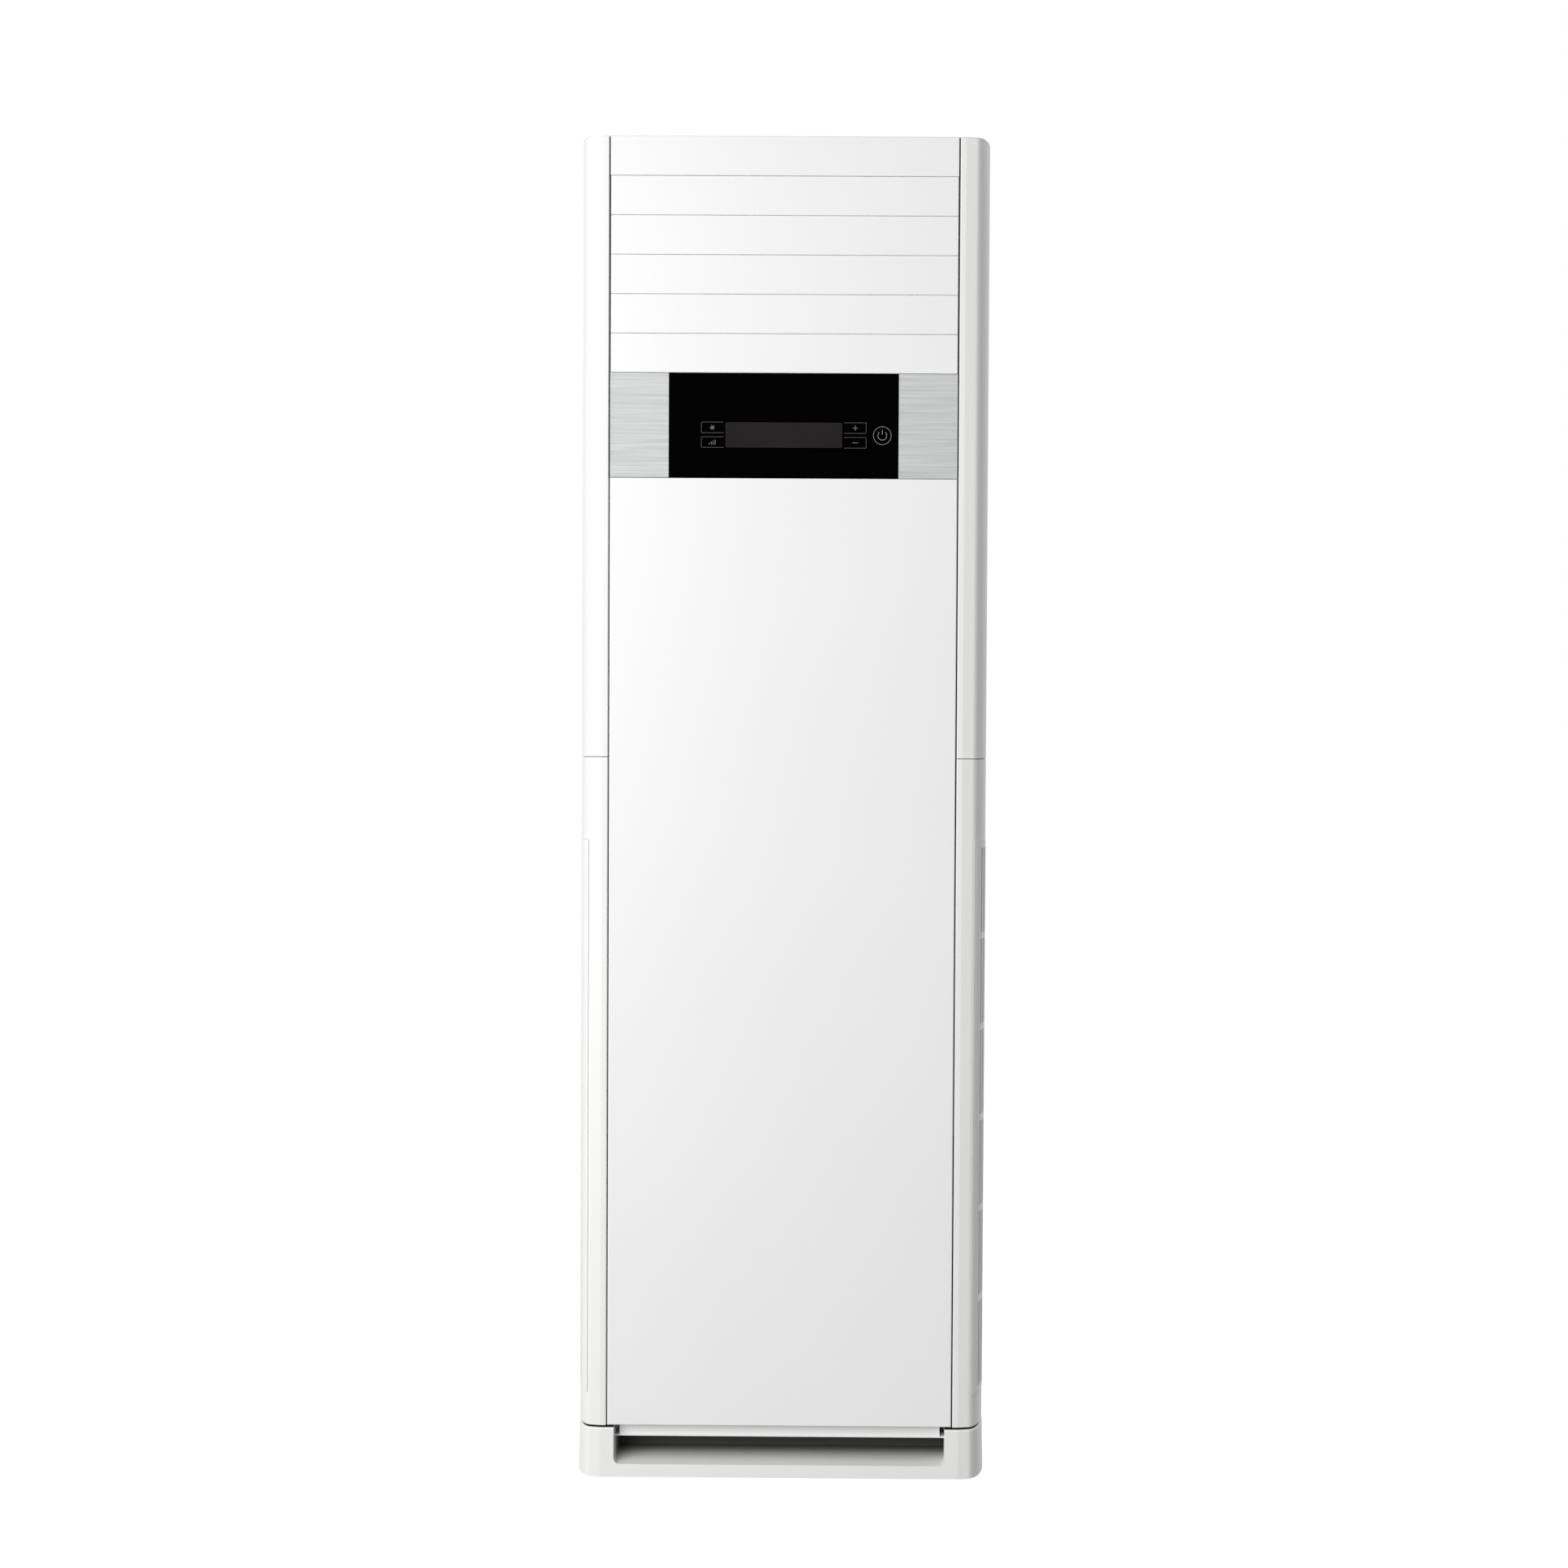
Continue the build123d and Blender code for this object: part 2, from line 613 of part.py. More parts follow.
def screw_holes():
    """Clearance holes for the rear panel screws."""
    radius = SCREW_SHANK + RUNNING
    return [rod_y(x, REAR - SCREW_LENGTH, REAR + OVERCUT, z, radius) for x, z in screw_places()]


def make_casing_screws():
    """Pan-head screws through the side flanges into the rear panel."""
    screws = []
    for x, z in screw_places():
        head = rod_y(x, REAR, REAR + SCREW_HEAD_HEIGHT, z, SCREW_HEAD)
        head = fillet(head.edges().sort_by(Axis.Y)[-1], SCREW_HEAD_HEIGHT / 2)
        head -= block(x - SCREW_HEAD, x + SCREW_HEAD, REAR + OVERCUT, REAR + SCREW_HEAD, z - SEAT, z + SEAT)
        screws.append(head + rod_y(x, REAR - SCREW_LENGTH + OVERCUT, REAR, z, SCREW_SHANK))
    return screws


def make_rear_panel():
    """Steel back sheet with the filter slots and the pipe, drain and cable holes."""
    half = SIDE - SHEET - SEAT
    panel = block(-half, half, REAR_INNER, REAR_OUTER, CASE_BOTTOM, CASE_TOP)
    panel -= block(-half, half, REAR_INNER, REAR_OUTER, CASE_TOP - SHEET, CASE_TOP)
    panel -= block(-half, half, REAR_INNER, REAR_OUTER, CASE_BOTTOM, CASE_BOTTOM + SHEET)
    side = RAIL_SIDE + RAIL_GROOVE_GAP
    slot = block(
        FILTER_X - side,
        FILTER_X + FILTER_THICK + side,
        REAR_INNER,
        REAR_OUTER,
        GRILLE_BOTTOM - SEAT,
        GRILLE_TOP + SEAT,
    )
    panel -= [slot, other_side(slot)]
    for x, z, radius in (
        (PIPE_HOLE_X, PIPE_HOLE_Z, PIPE_HOLE),
        (GLAND_X, GLAND_Z, GLAND_THREAD + SEAT),
        (SPIGOT_X, HOSE_Z, HOSE_RADIUS + SEAT),
    ):
        panel -= rod_y(x, REAR_INNER - OVERCUT, REAR_OUTER + OVERCUT, z, radius)
    return panel - screw_holes()


def make_top_cover():
    """Flat steel lid with a skirt inside the rear panel."""
    lid = slab(plan_outline(), CASE_TOP, HEIGHT)
    skirt_half = SIDE - FLANGE_WIDTH - OVERCUT
    skirt_back = REAR_INNER - SEAT
    skirt_low = CASE_TOP - TOP_SKIRT
    return lid + block(-skirt_half, skirt_half, skirt_back - SHEET, skirt_back, skirt_low, CASE_TOP)


# ------------------------------------------------------------------ filters
def make_filter():
    """Framed net that draws out to the rear."""
    z0 = GRILLE_BOTTOM + RAIL_GROOVE_GAP
    z1 = GRILLE_TOP - RAIL_GROOVE_GAP
    x1 = FILTER_X + FILTER_THICK
    frame = block(FILTER_X, x1, FILTER_FRONT, FILTER_REAR, z0, z1)
    edge = FILTER_BORDER
    inside = block(FILTER_X, x1, FILTER_FRONT + edge, FILTER_REAR - edge, z0 + edge, z1 - edge)
    frame -= inside
    middle = (FILTER_FRONT + FILTER_REAR) / 2
    ribs = [block(FILTER_X, x1, middle - FILTER_RIB / 2, middle + FILTER_RIB / 2, z0, z1)]
    step = (z1 - z0) / (FILTER_RIBS_UP + 1)
    for rib in range(FILTER_RIBS_UP):
        z = z0 + (rib + 1) * step
        ribs.append(block(FILTER_X, x1, FILTER_FRONT, FILTER_REAR, z - FILTER_RIB / 2, z + FILTER_RIB / 2))
    centre = FILTER_X + FILTER_THICK / 2
    net = block(centre - FILTER_NET / 2, centre + FILTER_NET / 2, FILTER_FRONT, FILTER_REAR, z0, z1)
    middle_z = (z0 + z1) / 2
    tab = block(
        centre - FILTER_NET,
        centre + FILTER_NET,
        FILTER_REAR - OVERCUT,
        REAR_OUTER,
        middle_z - FILTER_TAB / 2,
        middle_z + FILTER_TAB / 2,
    )
    return frame + ribs + net + tab


def make_filter_rails():
    """Grooved runners above and below each filter."""
    x0 = FILTER_X - RAIL_GROOVE_GAP
    x1 = FILTER_X + FILTER_THICK + RAIL_GROOVE_GAP
    y1 = REAR_INNER - SEAT
    rails = []
    for groove, solid in ((GRILLE_BOTTOM, -1), (GRILLE_TOP, 1)):
        bottom = groove + solid * (RAIL_HEIGHT - RAIL_GROOVE_DEPTH)
        mouth = groove - solid * RAIL_GROOVE_DEPTH
        low = min(bottom, mouth)
        high = max(bottom, mouth)
        rail = block(x0 - RAIL_SIDE, x1 + RAIL_LEDGE, RAIL_FRONT, y1, low, high)
        rail -= block(x0, x1, RAIL_FRONT, y1, min(groove, mouth), max(groove, mouth))
        rails.append(rail)
        rails.append(other_side(rail))
    return rails


# ------------------------------------------------------------------ front panel and display band
def make_front_panel():
    """Tray-shaped lower front moulding with stiffening ribs behind."""
    z0 = CASE_BOTTOM + PANEL_SEAM / 2
    z1 = BAND_BOTTOM - PANEL_SEAM / 2
    back = FRONT + PANEL_RETURN
    tray = block(-PANEL_HALF, PANEL_HALF, FRONT, back, z0, z1)
    tray = fillet(tray.faces().sort_by(Axis.Y)[0].edges(), PANEL_ROUND)
    inner = PANEL_HALF - MOULDING
    tray -= block(-inner, inner, FRONT + PANEL_WALL, back, z0 + MOULDING, z1 - MOULDING)
    rib_back = FRONT + PANEL_WALL + PANEL_RIB_DEPTH
    step = (z1 - z0) / (PANEL_RIBS + 1)
    for rib in range(PANEL_RIBS):
        z = z0 + (rib + 1) * step
        tray += block(-inner, inner, FRONT + PANEL_WALL, rib_back, z, z + PANEL_RIB)
    return tray


BAND_Z0 = BAND_BOTTOM + PANEL_SEAM / 2
BAND_Z1 = OUTLET_BOTTOM - OUTLET_SPACE
BAND_MIDDLE = BAND_BOTTOM + BAND_HEIGHT / 2
GLASS_HALF = GLASS_WIDTH / 2
LCD_Z = BAND_MIDDLE - LCD_DROP


def make_display_glass():
    """Black glass over the display, with a fine ground edge."""
    glass = block(-GLASS_HALF, GLASS_HALF, FRONT, FRONT + GLASS_THICK, BAND_Z0, BAND_Z1)
    return fillet(glass.faces().sort_by(Axis.Y)[0].edges(), GLASS_EDGE)


def make_trim_plates():
    """Brushed metal plates either side of the glass."""
    x0 = GLASS_HALF + SEAT / 2
    plate = block(x0, PANEL_HALF, FRONT, FRONT + TRIM_THICK, BAND_Z0, BAND_Z1)
    plate = fillet(plate.faces().sort_by(Axis.Y)[0].edges(), GLASS_EDGE)
    return [plate, other_side(plate)]


def make_display_frame():
    """Carrier for the glass and trim plates, open behind for the display board."""
    back = FRONT + BEZEL_DEPTH
    frame = block(-PANEL_HALF, PANEL_HALF, FRONT + TRIM_THICK, back, BAND_Z0, BAND_Z1)
    pocket = GLASS_HALF + SEAT / 2
    floor = FRONT + GLASS_THICK
    frame -= block(-pocket, pocket, FRONT, floor, BAND_Z0, BAND_Z1)
    half = PANEL_HALF - BEZEL_WALL
    frame -= block(-half, half, floor + BEZEL_WALL, back, BAND_Z0 + BEZEL_WALL, BAND_Z1 - BEZEL_WALL)
    x = LCD_WIDTH / 2 + SEAT
    z = LCD_HEIGHT / 2 + SEAT
    frame -= block(-x, x, floor, back, LCD_Z - z, LCD_Z + z)
    for sign in (-1, 1):
        x = sign * (BOARD_WIDTH / 2 - BEZEL_WALL)
        frame += rod_y(x, floor, FRONT + BOARD_SET_BACK, BAND_MIDDLE, BEZEL_WALL)
    return frame


def make_display_board():
    """Circuit board with the display cell and the touch pads standing behind the glass."""
    y0 = FRONT + BOARD_SET_BACK
    z0 = BAND_MIDDLE - BOARD_HEIGHT / 2
    z1 = BAND_MIDDLE + BOARD_HEIGHT / 2
    board = block(-BOARD_WIDTH / 2, BOARD_WIDTH / 2, y0, y0 + BOARD_THICK, z0, z1)
    x = LCD_WIDTH / 2
    z = LCD_HEIGHT / 2
    board += block(-x, x, FRONT + GLASS_THICK, y0, LCD_Z - z, LCD_Z + z)
    pad_front = FRONT + GLASS_THICK + BEZEL_WALL + SEAT
    for sign in (-1, 1):
        for up in (-1, 1):
            board += rod_y(sign * KEY_ACROSS, pad_front, y0, LCD_Z + up * KEY_SPLIT / 2, KEY_DOMES)
    return board


# ------------------------------------------------------------------ louvre
def pivot_z(index):
    """Height of a blade's pivot, counted from the top."""
    return OUTLET_TOP - index * LOUVRE_PITCH - LOUVRE_PITCH / 2


PIVOT_Y = FRONT + LOUVRE_PIVOT
CRANK_END = CRANK_X + CRANK_THICK
LINK_X = CRANK_END + LINK_SPACE
LINK_END = LINK_X + LINK_THICK
CRANK_DY = CRANK_RADIUS * math.cos(math.radians(CRANK_ANGLE))
CRANK_DZ = CRANK_RADIUS * math.sin(math.radians(CRANK_ANGLE))
DRIVE_Y = PIVOT_Y + DRIVE_BACK
DRIVE_Z = pivot_z(LOUVRE_COUNT // 2)
DRIVE_X = LINK_END + SEAT * 2
DRIVE_END = DRIVE_X + CRANK_THICK
MOTOR_X = DRIVE_END + LINK_SPACE


def crank_arm(x0, x1, y, z):
    """Round-ended arm from a pivot at (y, z) to the crank pin."""
    turned = Pos(0, y, z) * Rot(CRANK_ANGLE, 0, 0)
    arm = turned * block(x0, x1, 0, CRANK_RADIUS, -CRANK_HUB, CRANK_HUB)
    return arm + rod_x(x0, x1, y, z, CRANK_HUB) + rod_x(x0, x1, y + CRANK_DY, z + CRANK_DZ, CRANK_HUB)


def make_louvre_blade(index):
    """Flat-faced blade, thicker at its middle, with end pins and one outboard crank."""
    z = pivot_z(index)
    half = (LOUVRE_PITCH - LOUVRE_GAP) / 2
    lip = FRONT + LOUVRE_LIP
    back = FRONT + LOUVRE_DEPTH
    outline = make_face(
        [
            Line((FRONT, z - half), (FRONT, z + half)),
            Line((FRONT, z + half), (lip, z + half)),
            ThreePointArc((lip, z + half), (back, z), (lip, z - half)),
            Line((lip, z - half), (FRONT, z - half)),
        ]
    )
    blade = extrude(Plane.YZ * outline, LOUVRE_HALF, both=True)
    face = blade.faces().sort_by(Axis.Y)[0]
    blade = fillet(face.edges().filter_by(Axis.X), LOUVRE_ROUND)
    blade += rod_x(-JAMB_INNER - JAMB_WALL, -LOUVRE_HALF, PIVOT_Y, z, PIN_RADIUS)
    blade += rod_x(LOUVRE_HALF, CRANK_END, PIVOT_Y, z, PIN_RADIUS)
    blade += crank_arm(CRANK_X, CRANK_END, PIVOT_Y, z)
    blade += rod_x(CRANK_END, LINK_END + SEAT, PIVOT_Y + CRANK_DY, z + CRANK_DZ, CRANK_PIN)
    return blade


def make_louvre_link():
    """Upright bar that joins the blade cranks, with an ear for the motor crank."""
    y = PIVOT_Y + CRANK_DY
    top = pivot_z(0) + CRANK_DZ
    bottom = pivot_z(LOUVRE_COUNT - 1) + CRANK_DZ
    ear_z = DRIVE_Z + CRANK_DZ
    ear_y = DRIVE_Y + CRANK_DY
    link = block(LINK_X, LINK_END, y - LINK_HALF, y + LINK_HALF, bottom, top)
    link += block(LINK_X, LINK_END, y, ear_y, ear_z - LINK_HALF, ear_z + LINK_HALF)
    ends = [(y, pivot_z(index) + CRANK_DZ) for index in range(LOUVRE_COUNT)] + [(ear_y, ear_z)]
    for hole_y, hole_z in ends:
        link += rod_x(LINK_X, LINK_END, hole_y, hole_z, LINK_HALF)
    for hole_y, hole_z in ends:
        link -= rod_x(LINK_X - OVERCUT, LINK_END + OVERCUT, hole_y, hole_z, CRANK_PIN + RUNNING)
    return link


def make_louvre_crank():
    """Motor crank: drive shaft outward, crank pin inward into the link's ear."""
    crank = crank_arm(DRIVE_X, DRIVE_END, DRIVE_Y, DRIVE_Z)
    crank += rod_x(DRIVE_END, MOTOR_X + SHAFT_LENGTH, DRIVE_Y, DRIVE_Z, SHAFT_RADIUS)
    return crank + rod_x(LINK_X, DRIVE_X, DRIVE_Y + CRANK_DY, DRIVE_Z + CRANK_DZ, CRANK_PIN)


def make_louvre_motor():
    """Geared motor with two lugs on standoffs outside the jamb."""
    can = rod_x(MOTOR_X, MOTOR_X + MOTOR_LENGTH, DRIVE_Y, DRIVE_Z, MOTOR_RADIUS)
    can = fillet(can.edges().sort_by(Axis.X)[-1], OVERCUT)
    lug = MOTOR_LUG + MOTOR_LUG_HALF
    can += block(
        MOTOR_X,
        MOTOR_X + MOTOR_LUG_THICK,
        DRIVE_Y - MOTOR_LUG_HALF,
        DRIVE_Y + MOTOR_LUG_HALF,
        DRIVE_Z - lug,
        DRIVE_Z + lug,
    )
    return can - rod_x(MOTOR_X, MOTOR_X + SHAFT_LENGTH + SEAT, DRIVE_Y, DRIVE_Z, SHAFT_RADIUS + RUNNING)


def make_outlet_fascia():
    """Fixed white strip above the louvre."""
    z0 = OUTLET_TOP + OUTLET_SPACE
    strip = block(-PANEL_HALF, PANEL_HALF, FRONT, FRONT + FASCIA_RETURN, z0, CASE_TOP)
    front = strip.faces().sort_by(Axis.Y)[0].edges()
    strip = fillet(front.filter_by(Axis.Z) + front.sort_by(Axis.Z)[0:1], LOUVRE_ROUND)
    inner = PANEL_HALF - MOULDING
    return strip - block(-inner, inner, FRONT + MOULDING, FRONT + FASCIA_RETURN, z0 + MOULDING, CASE_TOP)


def vane_x(index):
    """Place of an upright vane across the outlet."""
    return (index - (VANE_COUNT - 1) / 2) * VANE_PITCH


OUTLET_LOW = OUTLET_BOTTOM - OUTLET_SPACE
OUTLET_HIGH = OUTLET_TOP + OUTLET_SPACE


def make_outlet_frame():
    """Dark frame round the outlet that holds both sets of pivots and the louvre motor."""
    jamb_front = FRONT + MOULDING + SEAT
    floor_front = FRONT + BEZEL_DEPTH + SEAT
    roof_front = FRONT + FASCIA_RETURN + SEAT
    low = OUTLET_LOW - OUTLET_WALL
    high = OUTLET_HIGH + OUTLET_WALL
    frame = block(-JAMB_OUTER, JAMB_OUTER, floor_front, OUTLET_REAR, low, OUTLET_LOW)
    frame += block(-JAMB_OUTER, JAMB_OUTER, roof_front, OUTLET_REAR, OUTLET_HIGH, high)
    for sign in (-1, 1):
        x0 = min(sign * JAMB_INNER, sign * JAMB_OUTER)
        x1 = max(sign * JAMB_INNER, sign * JAMB_OUTER)
        frame += block(x0, x1, jamb_front, OUTLET_REAR, OUTLET_LOW, OUTLET_HIGH)
        frame += block(x0, x1, floor_front, OUTLET_REAR, low, high)
    for up in (-1, 1):
        frame += rod_x(JAMB_OUTER, MOTOR_X, DRIVE_Y, DRIVE_Z + up * MOTOR_LUG, STANDOFF_RADIUS)
    for index in range(LOUVRE_COUNT):
        hole = PIN_RADIUS + RUNNING
        frame -= rod_x(-JAMB_OUTER - OVERCUT, JAMB_OUTER + OVERCUT, PIVOT_Y, pivot_z(index), hole)
    for index in range(VANE_COUNT):
        frame -= rod_z(vane_x(index), VANE_PIVOT, low - OVERCUT, high + OVERCUT, PIN_RADIUS + RUNNING)
    return frame


# ------------------------------------------------------------------ upright vanes
VANE_REAR = VANE_FRONT + VANE_DEPTH
VANE_PIN_Y = VANE_REAR - NOTCH_PIN
VANE_LOW = OUTLET_LOW + VANE_SPACE
VANE_HIGH = OUTLET_HIGH - VANE_SPACE
VANE_MIDDLE = (VANE_LOW + VANE_HIGH) / 2
VANE_MOTOR_Z = OUTLET_HIGH + OUTLET_WALL + SEAT


def make_vane(index):
    """Thin upright vane with end pins and a notched rear edge for the link."""
    x = vane_x(index)
    half = VANE_THICK / 2
    vane = block(x - half, x + half, VANE_FRONT, VANE_REAR, VANE_LOW, VANE_HIGH)
    z0 = VANE_MIDDLE - NOTCH_HEIGHT / 2
    z1 = VANE_MIDDLE + NOTCH_HEIGHT / 2
    vane -= block(x - half, x + half, VANE_REAR - NOTCH_DEPTH, VANE_REAR, z0, z1)
    vane += rod_z(x, VANE_PIN_Y, z0 - OVERCUT, z1 + OVERCUT, CRANK_PIN)
    driven = index == VANE_COUNT // 2
    top = VANE_MOTOR_Z + SHAFT_LENGTH if driven else OUTLET_HIGH + OUTLET_WALL
    vane += rod_z(x, VANE_PIVOT, VANE_HIGH - PIN_RADIUS, top, PIN_RADIUS)
    return vane + rod_z(x, VANE_PIVOT, OUTLET_LOW - OUTLET_WALL, VANE_LOW + PIN_RADIUS, PIN_RADIUS)


def make_vane_link():
    """Bar that keeps the upright vanes in step."""
    end = vane_x(VANE_COUNT - 1) + VANE_LINK_END
    y0 = VANE_PIN_Y - VANE_LINK_HALF
    y1 = VANE_PIN_Y + VANE_LINK_HALF
    half = VANE_LINK_THICK / 2
    link = block(-end, end, y0, y1, VANE_MIDDLE - half, VANE_MIDDLE + half)
    for index in range(VANE_COUNT):
        link -= rod_z(vane_x(index), VANE_PIN_Y, VANE_MIDDLE - half, VANE_MIDDLE + half, CRANK_PIN + RUNNING)
    return link


def make_vane_motor():
    """Geared motor on the roof of the outlet frame, over the middle vane."""
    x = vane_x(VANE_COUNT // 2)
    can = rod_z(x, VANE_PIVOT, VANE_MOTOR_Z, VANE_MOTOR_Z + MOTOR_LENGTH, MOTOR_RADIUS)
    can = fillet(can.edges().sort_by(Axis.Z)[-1], OVERCUT)
    lug = MOTOR_LUG + MOTOR_LUG_HALF
    foot_top = VANE_MOTOR_Z + MOTOR_LUG_THICK
    half = MOTOR_LUG_HALF
    can += block(x - lug, x + lug, VANE_PIVOT - half, VANE_PIVOT + half, VANE_MOTOR_Z, foot_top)
    return can - rod_z(x, VANE_PIVOT, VANE_MOTOR_Z, VANE_MOTOR_Z + SHAFT_LENGTH + SEAT, PIN_RADIUS + RUNNING)


# ------------------------------------------------------------------ coil, pan, duct, deck
PAN_FLOOR = DECK_TOP + MOULDING
COIL_SIN = COIL_LEAN / COIL_LENGTH
COIL_TILT = math.asin(COIL_SIN)
COIL_COS = math.cos(COIL_TILT)
COIL_FOOT_Z = PAN_FLOOR + SEAT + COIL_THICK / 2 * COIL_SIN
COIL_TOP_Z = COIL_FOOT_Z + COIL_LENGTH * COIL_COS + COIL_THICK / 2 * COIL_SIN
COIL_PLACE = Pos(0, COIL_FOOT_Y, COIL_FOOT_Z) * Rot(-math.degrees(COIL_TILT), 0, 0)


def tube_across(row):
    """Offset of a tube row through the coil's thickness, front row first."""
    return (row - (TUBE_ROWS - 1) / 2) * TUBE_ROW_GAP


def tube_place(row, index):
    """Real Y and Z of a tube's axis."""
    across = tube_across(row)
    along = TUBE_EDGE + index * TUBE_PITCH
    y = COIL_FOOT_Y + along * COIL_SIN + across * COIL_COS
    return y, COIL_FOOT_Z + along * COIL_COS - across * COIL_SIN


def make_evaporator_fins():
    """Fin pack, drawn as one block that the tubes run through."""
    half = COIL_THICK / 2
    pack = block(-COIL_HALF, COIL_HALF, -half, half, 0, COIL_LENGTH)
    holes = []
    for row in range(TUBE_ROWS):
        for index in range(TUBES_PER_ROW):
            z = TUBE_EDGE + index * TUBE_PITCH
            reach = COIL_HALF + OVERCUT
            holes.append(rod_x(-reach, reach, tube_across(row), z, TUBE_RADIUS + RUNNING))
    return COIL_PLACE * (pack - holes)


def return_bend(side, y, z):
    """Half ring that joins a tube to the next one up."""
    place = Plane(
        origin=(side * (COIL_HALF + TUBE_STUB), y, z + TUBE_PITCH / 2),
        x_dir=(0, 0, 1),
        z_dir=(0, side, 0),
    )
    return place * Torus(TUBE_PITCH / 2, TUBE_RADIUS, major_angle=HALF_TURN, align=None)


def make_evaporator_tubes():
    """One copper serpentine in each row, both ends out at the right."""
    rows = []
    for row in range(TUBE_ROWS):
        y = tube_across(row)
        stub = COIL_HALF + TUBE_STUB
        pieces = []
        for index in range(TUBES_PER_ROW):
            z = TUBE_EDGE + index * TUBE_PITCH
            last = index in (0, TUBES_PER_ROW - 1)
            pieces.append(rod_x(-stub, TUBE_END if last else stub, y, z, TUBE_RADIUS))
            if index < TUBES_PER_ROW - 1:
                pieces.append(return_bend(-1 if index % 2 == 0 else 1, y, z))
        serpentine = pieces[0] + pieces[1:]
        rows.append(COIL_PLACE * serpentine)
    return rows


def make_drain_pan():
    """Moulded tray under the foot of the coil with a drain spigot."""
    top = DECK_TOP + PAN_HEIGHT
    pan = block(-PAN_HALF, PAN_HALF, PAN_FRONT, PAN_REAR, DECK_TOP, top)
    inner = PAN_HALF - MOULDING
    pan -= block(-inner, inner, PAN_FRONT + MOULDING, PAN_REAR - MOULDING, PAN_FLOOR, top)
    pan += rod_z(SPIGOT_X, SPIGOT_Y, DECK_Z - SPIGOT_LENGTH, DECK_TOP + OVERCUT, SPIGOT_RADIUS)
    return pan - rod_z(SPIGOT_X, SPIGOT_Y, DECK_Z - SPIGOT_LENGTH, top, SPIGOT_RADIUS - SHEET)


def make_drain_hose():
    """Hose from the spigot down to the rear panel, with a plain cuff at its outer end."""
    start = (SPIGOT_X, SPIGOT_Y, DECK_Z - SEAT)
    cuff_y = HOSE_END_Y - CUFF_LENGTH
    corner = (SPIGOT_X, SPIGOT_Y, HOSE_Z)
    path = FilletPolyline(start, corner, (SPIGOT_X, cuff_y, HOSE_Z), radius=HOSE_BEND)
    ring = Circle(HOSE_RADIUS) - Circle(HOSE_RADIUS - HOSE_WALL)
    hose = sweep(Plane(origin=start, z_dir=(0, 0, -1)) * ring, path=path)
    hose += rod_y(SPIGOT_X, cuff_y - CUFF_WALL, cuff_y, HOSE_Z, HOSE_RADIUS)
    hose += rod_y(SPIGOT_X, cuff_y, HOSE_END_Y, HOSE_Z, CUFF_RADIUS)
    return hose - rod_y(SPIGOT_X, cuff_y - CUFF_WALL, HOSE_END_Y + OVERCUT, HOSE_Z, CUFF_RADIUS - CUFF_WALL)


def make_deck_plate():
    """Steel partition between the blower space and the coil space."""
    back = REAR_INNER - SEAT
    deck = block(-DECK_SIDE, DECK_SIDE, DECK_STEP, back, DECK_Z, DECK_TOP)
    front_half = POST_EDGE - SEAT
    deck += block(-front_half, front_half, DECK_FRONT, DECK_STEP, DECK_Z, DECK_TOP)
    notch_x = SIDE - FLANGE_WIDTH - MOULDING
    for sign in (-1, 1):
        x0 = min(sign * notch_x, sign * SIDE)
        x1 = max(sign * notch_x, sign * SIDE)
        y0 = POST_REAR - MOULDING - SEAT
        deck -= block(x0, x1, y0, POST_REAR + SHEET + SEAT * 2, DECK_Z, DECK_TOP)
    left = FAN_X - VOLUTE_STEP / 2
    deck -= block(left, volute_right(), VOLUTE_FRONT, VOLUTE_BACK, DECK_Z, DECK_TOP)
    for x, y, radius in (
        (SPIGOT_X, SPIGOT_Y, SPIGOT_RADIUS),
        (GAS_DROP_X, tube_place(1, TUBES_PER_ROW - 1)[0], GAS_RADIUS),
        (LIQUID_DROP_X, tube_place(0, TUBES_PER_ROW - 1)[0], LIQUID_RADIUS),
    ):
        deck -= rod_z(x, y, DECK_Z - OVERCUT, DECK_TOP + OVERCUT, radius + SEAT)
    return deck


def make_inner_panel():
    """Insulated plate that closes the coil space behind the front panel."""
    y0 = FRONT + POST_RETURN + SEAT
    half = POST_EDGE - SEAT
    top = OUTLET_LOW - OUTLET_WALL - SEAT
    return block(-half, half, y0, y0 + INSULATION, DECK_TOP, top)


def make_outlet_duct():
    """Foam hood that turns the air from the coil towards the louvre."""
    y0 = OUTLET_REAR + SEAT
    y1 = REAR_INNER - SEAT
    z0 = COIL_TOP_Z + SEAT
    roof = OUTLET_HIGH + OUTLET_WALL
    hood = block(-DUCT_HALF, DUCT_HALF, y0, y1, z0, roof)
    inner = DUCT_HALF - DUCT_WALL
    inner_back = y1 - DUCT_WALL
    bend = make_face(
        [
            Line((y0, z0), (y0, OUTLET_HIGH)),
            Line((y0, OUTLET_HIGH), (inner_back - DUCT_COVE, OUTLET_HIGH)),
            CenterArc((inner_back - DUCT_COVE, OUTLET_HIGH - DUCT_COVE), DUCT_COVE, 0, RIGHT_ANGLE),
            Line((inner_back, OUTLET_HIGH - DUCT_COVE), (inner_back, z0)),
            Line((inner_back, z0), (y0, z0)),
        ]
    )
    return hood - extrude(Plane.YZ * bend, inner, both=True)


# ------------------------------------------------------------------ refrigerant pipes
def pipe(points, radius):
    """Round tube, drawn solid, along straight runs and bends."""
    path = FilletPolyline(*points, radius=PIPE_BEND)
    start = Plane(origin=points[0], z_dir=(1, 0, 0))
    return sweep(start * Circle(radius), path=path)


def make_pipe(row, out_x, cross_z, drop_x, radius):
    """Pipe from a coil row's upper tube, down the right side and through the deck."""
    y, z = tube_place(row, TUBES_PER_ROW - 1)
    points = [
        (TUBE_END, y, z),
        (out_x, y, z),
        (out_x, y, cross_z),
        (drop_x, y, cross_z),
        (drop_x, y, PIPE_END_Z),
    ]
    return pipe(points, radius)


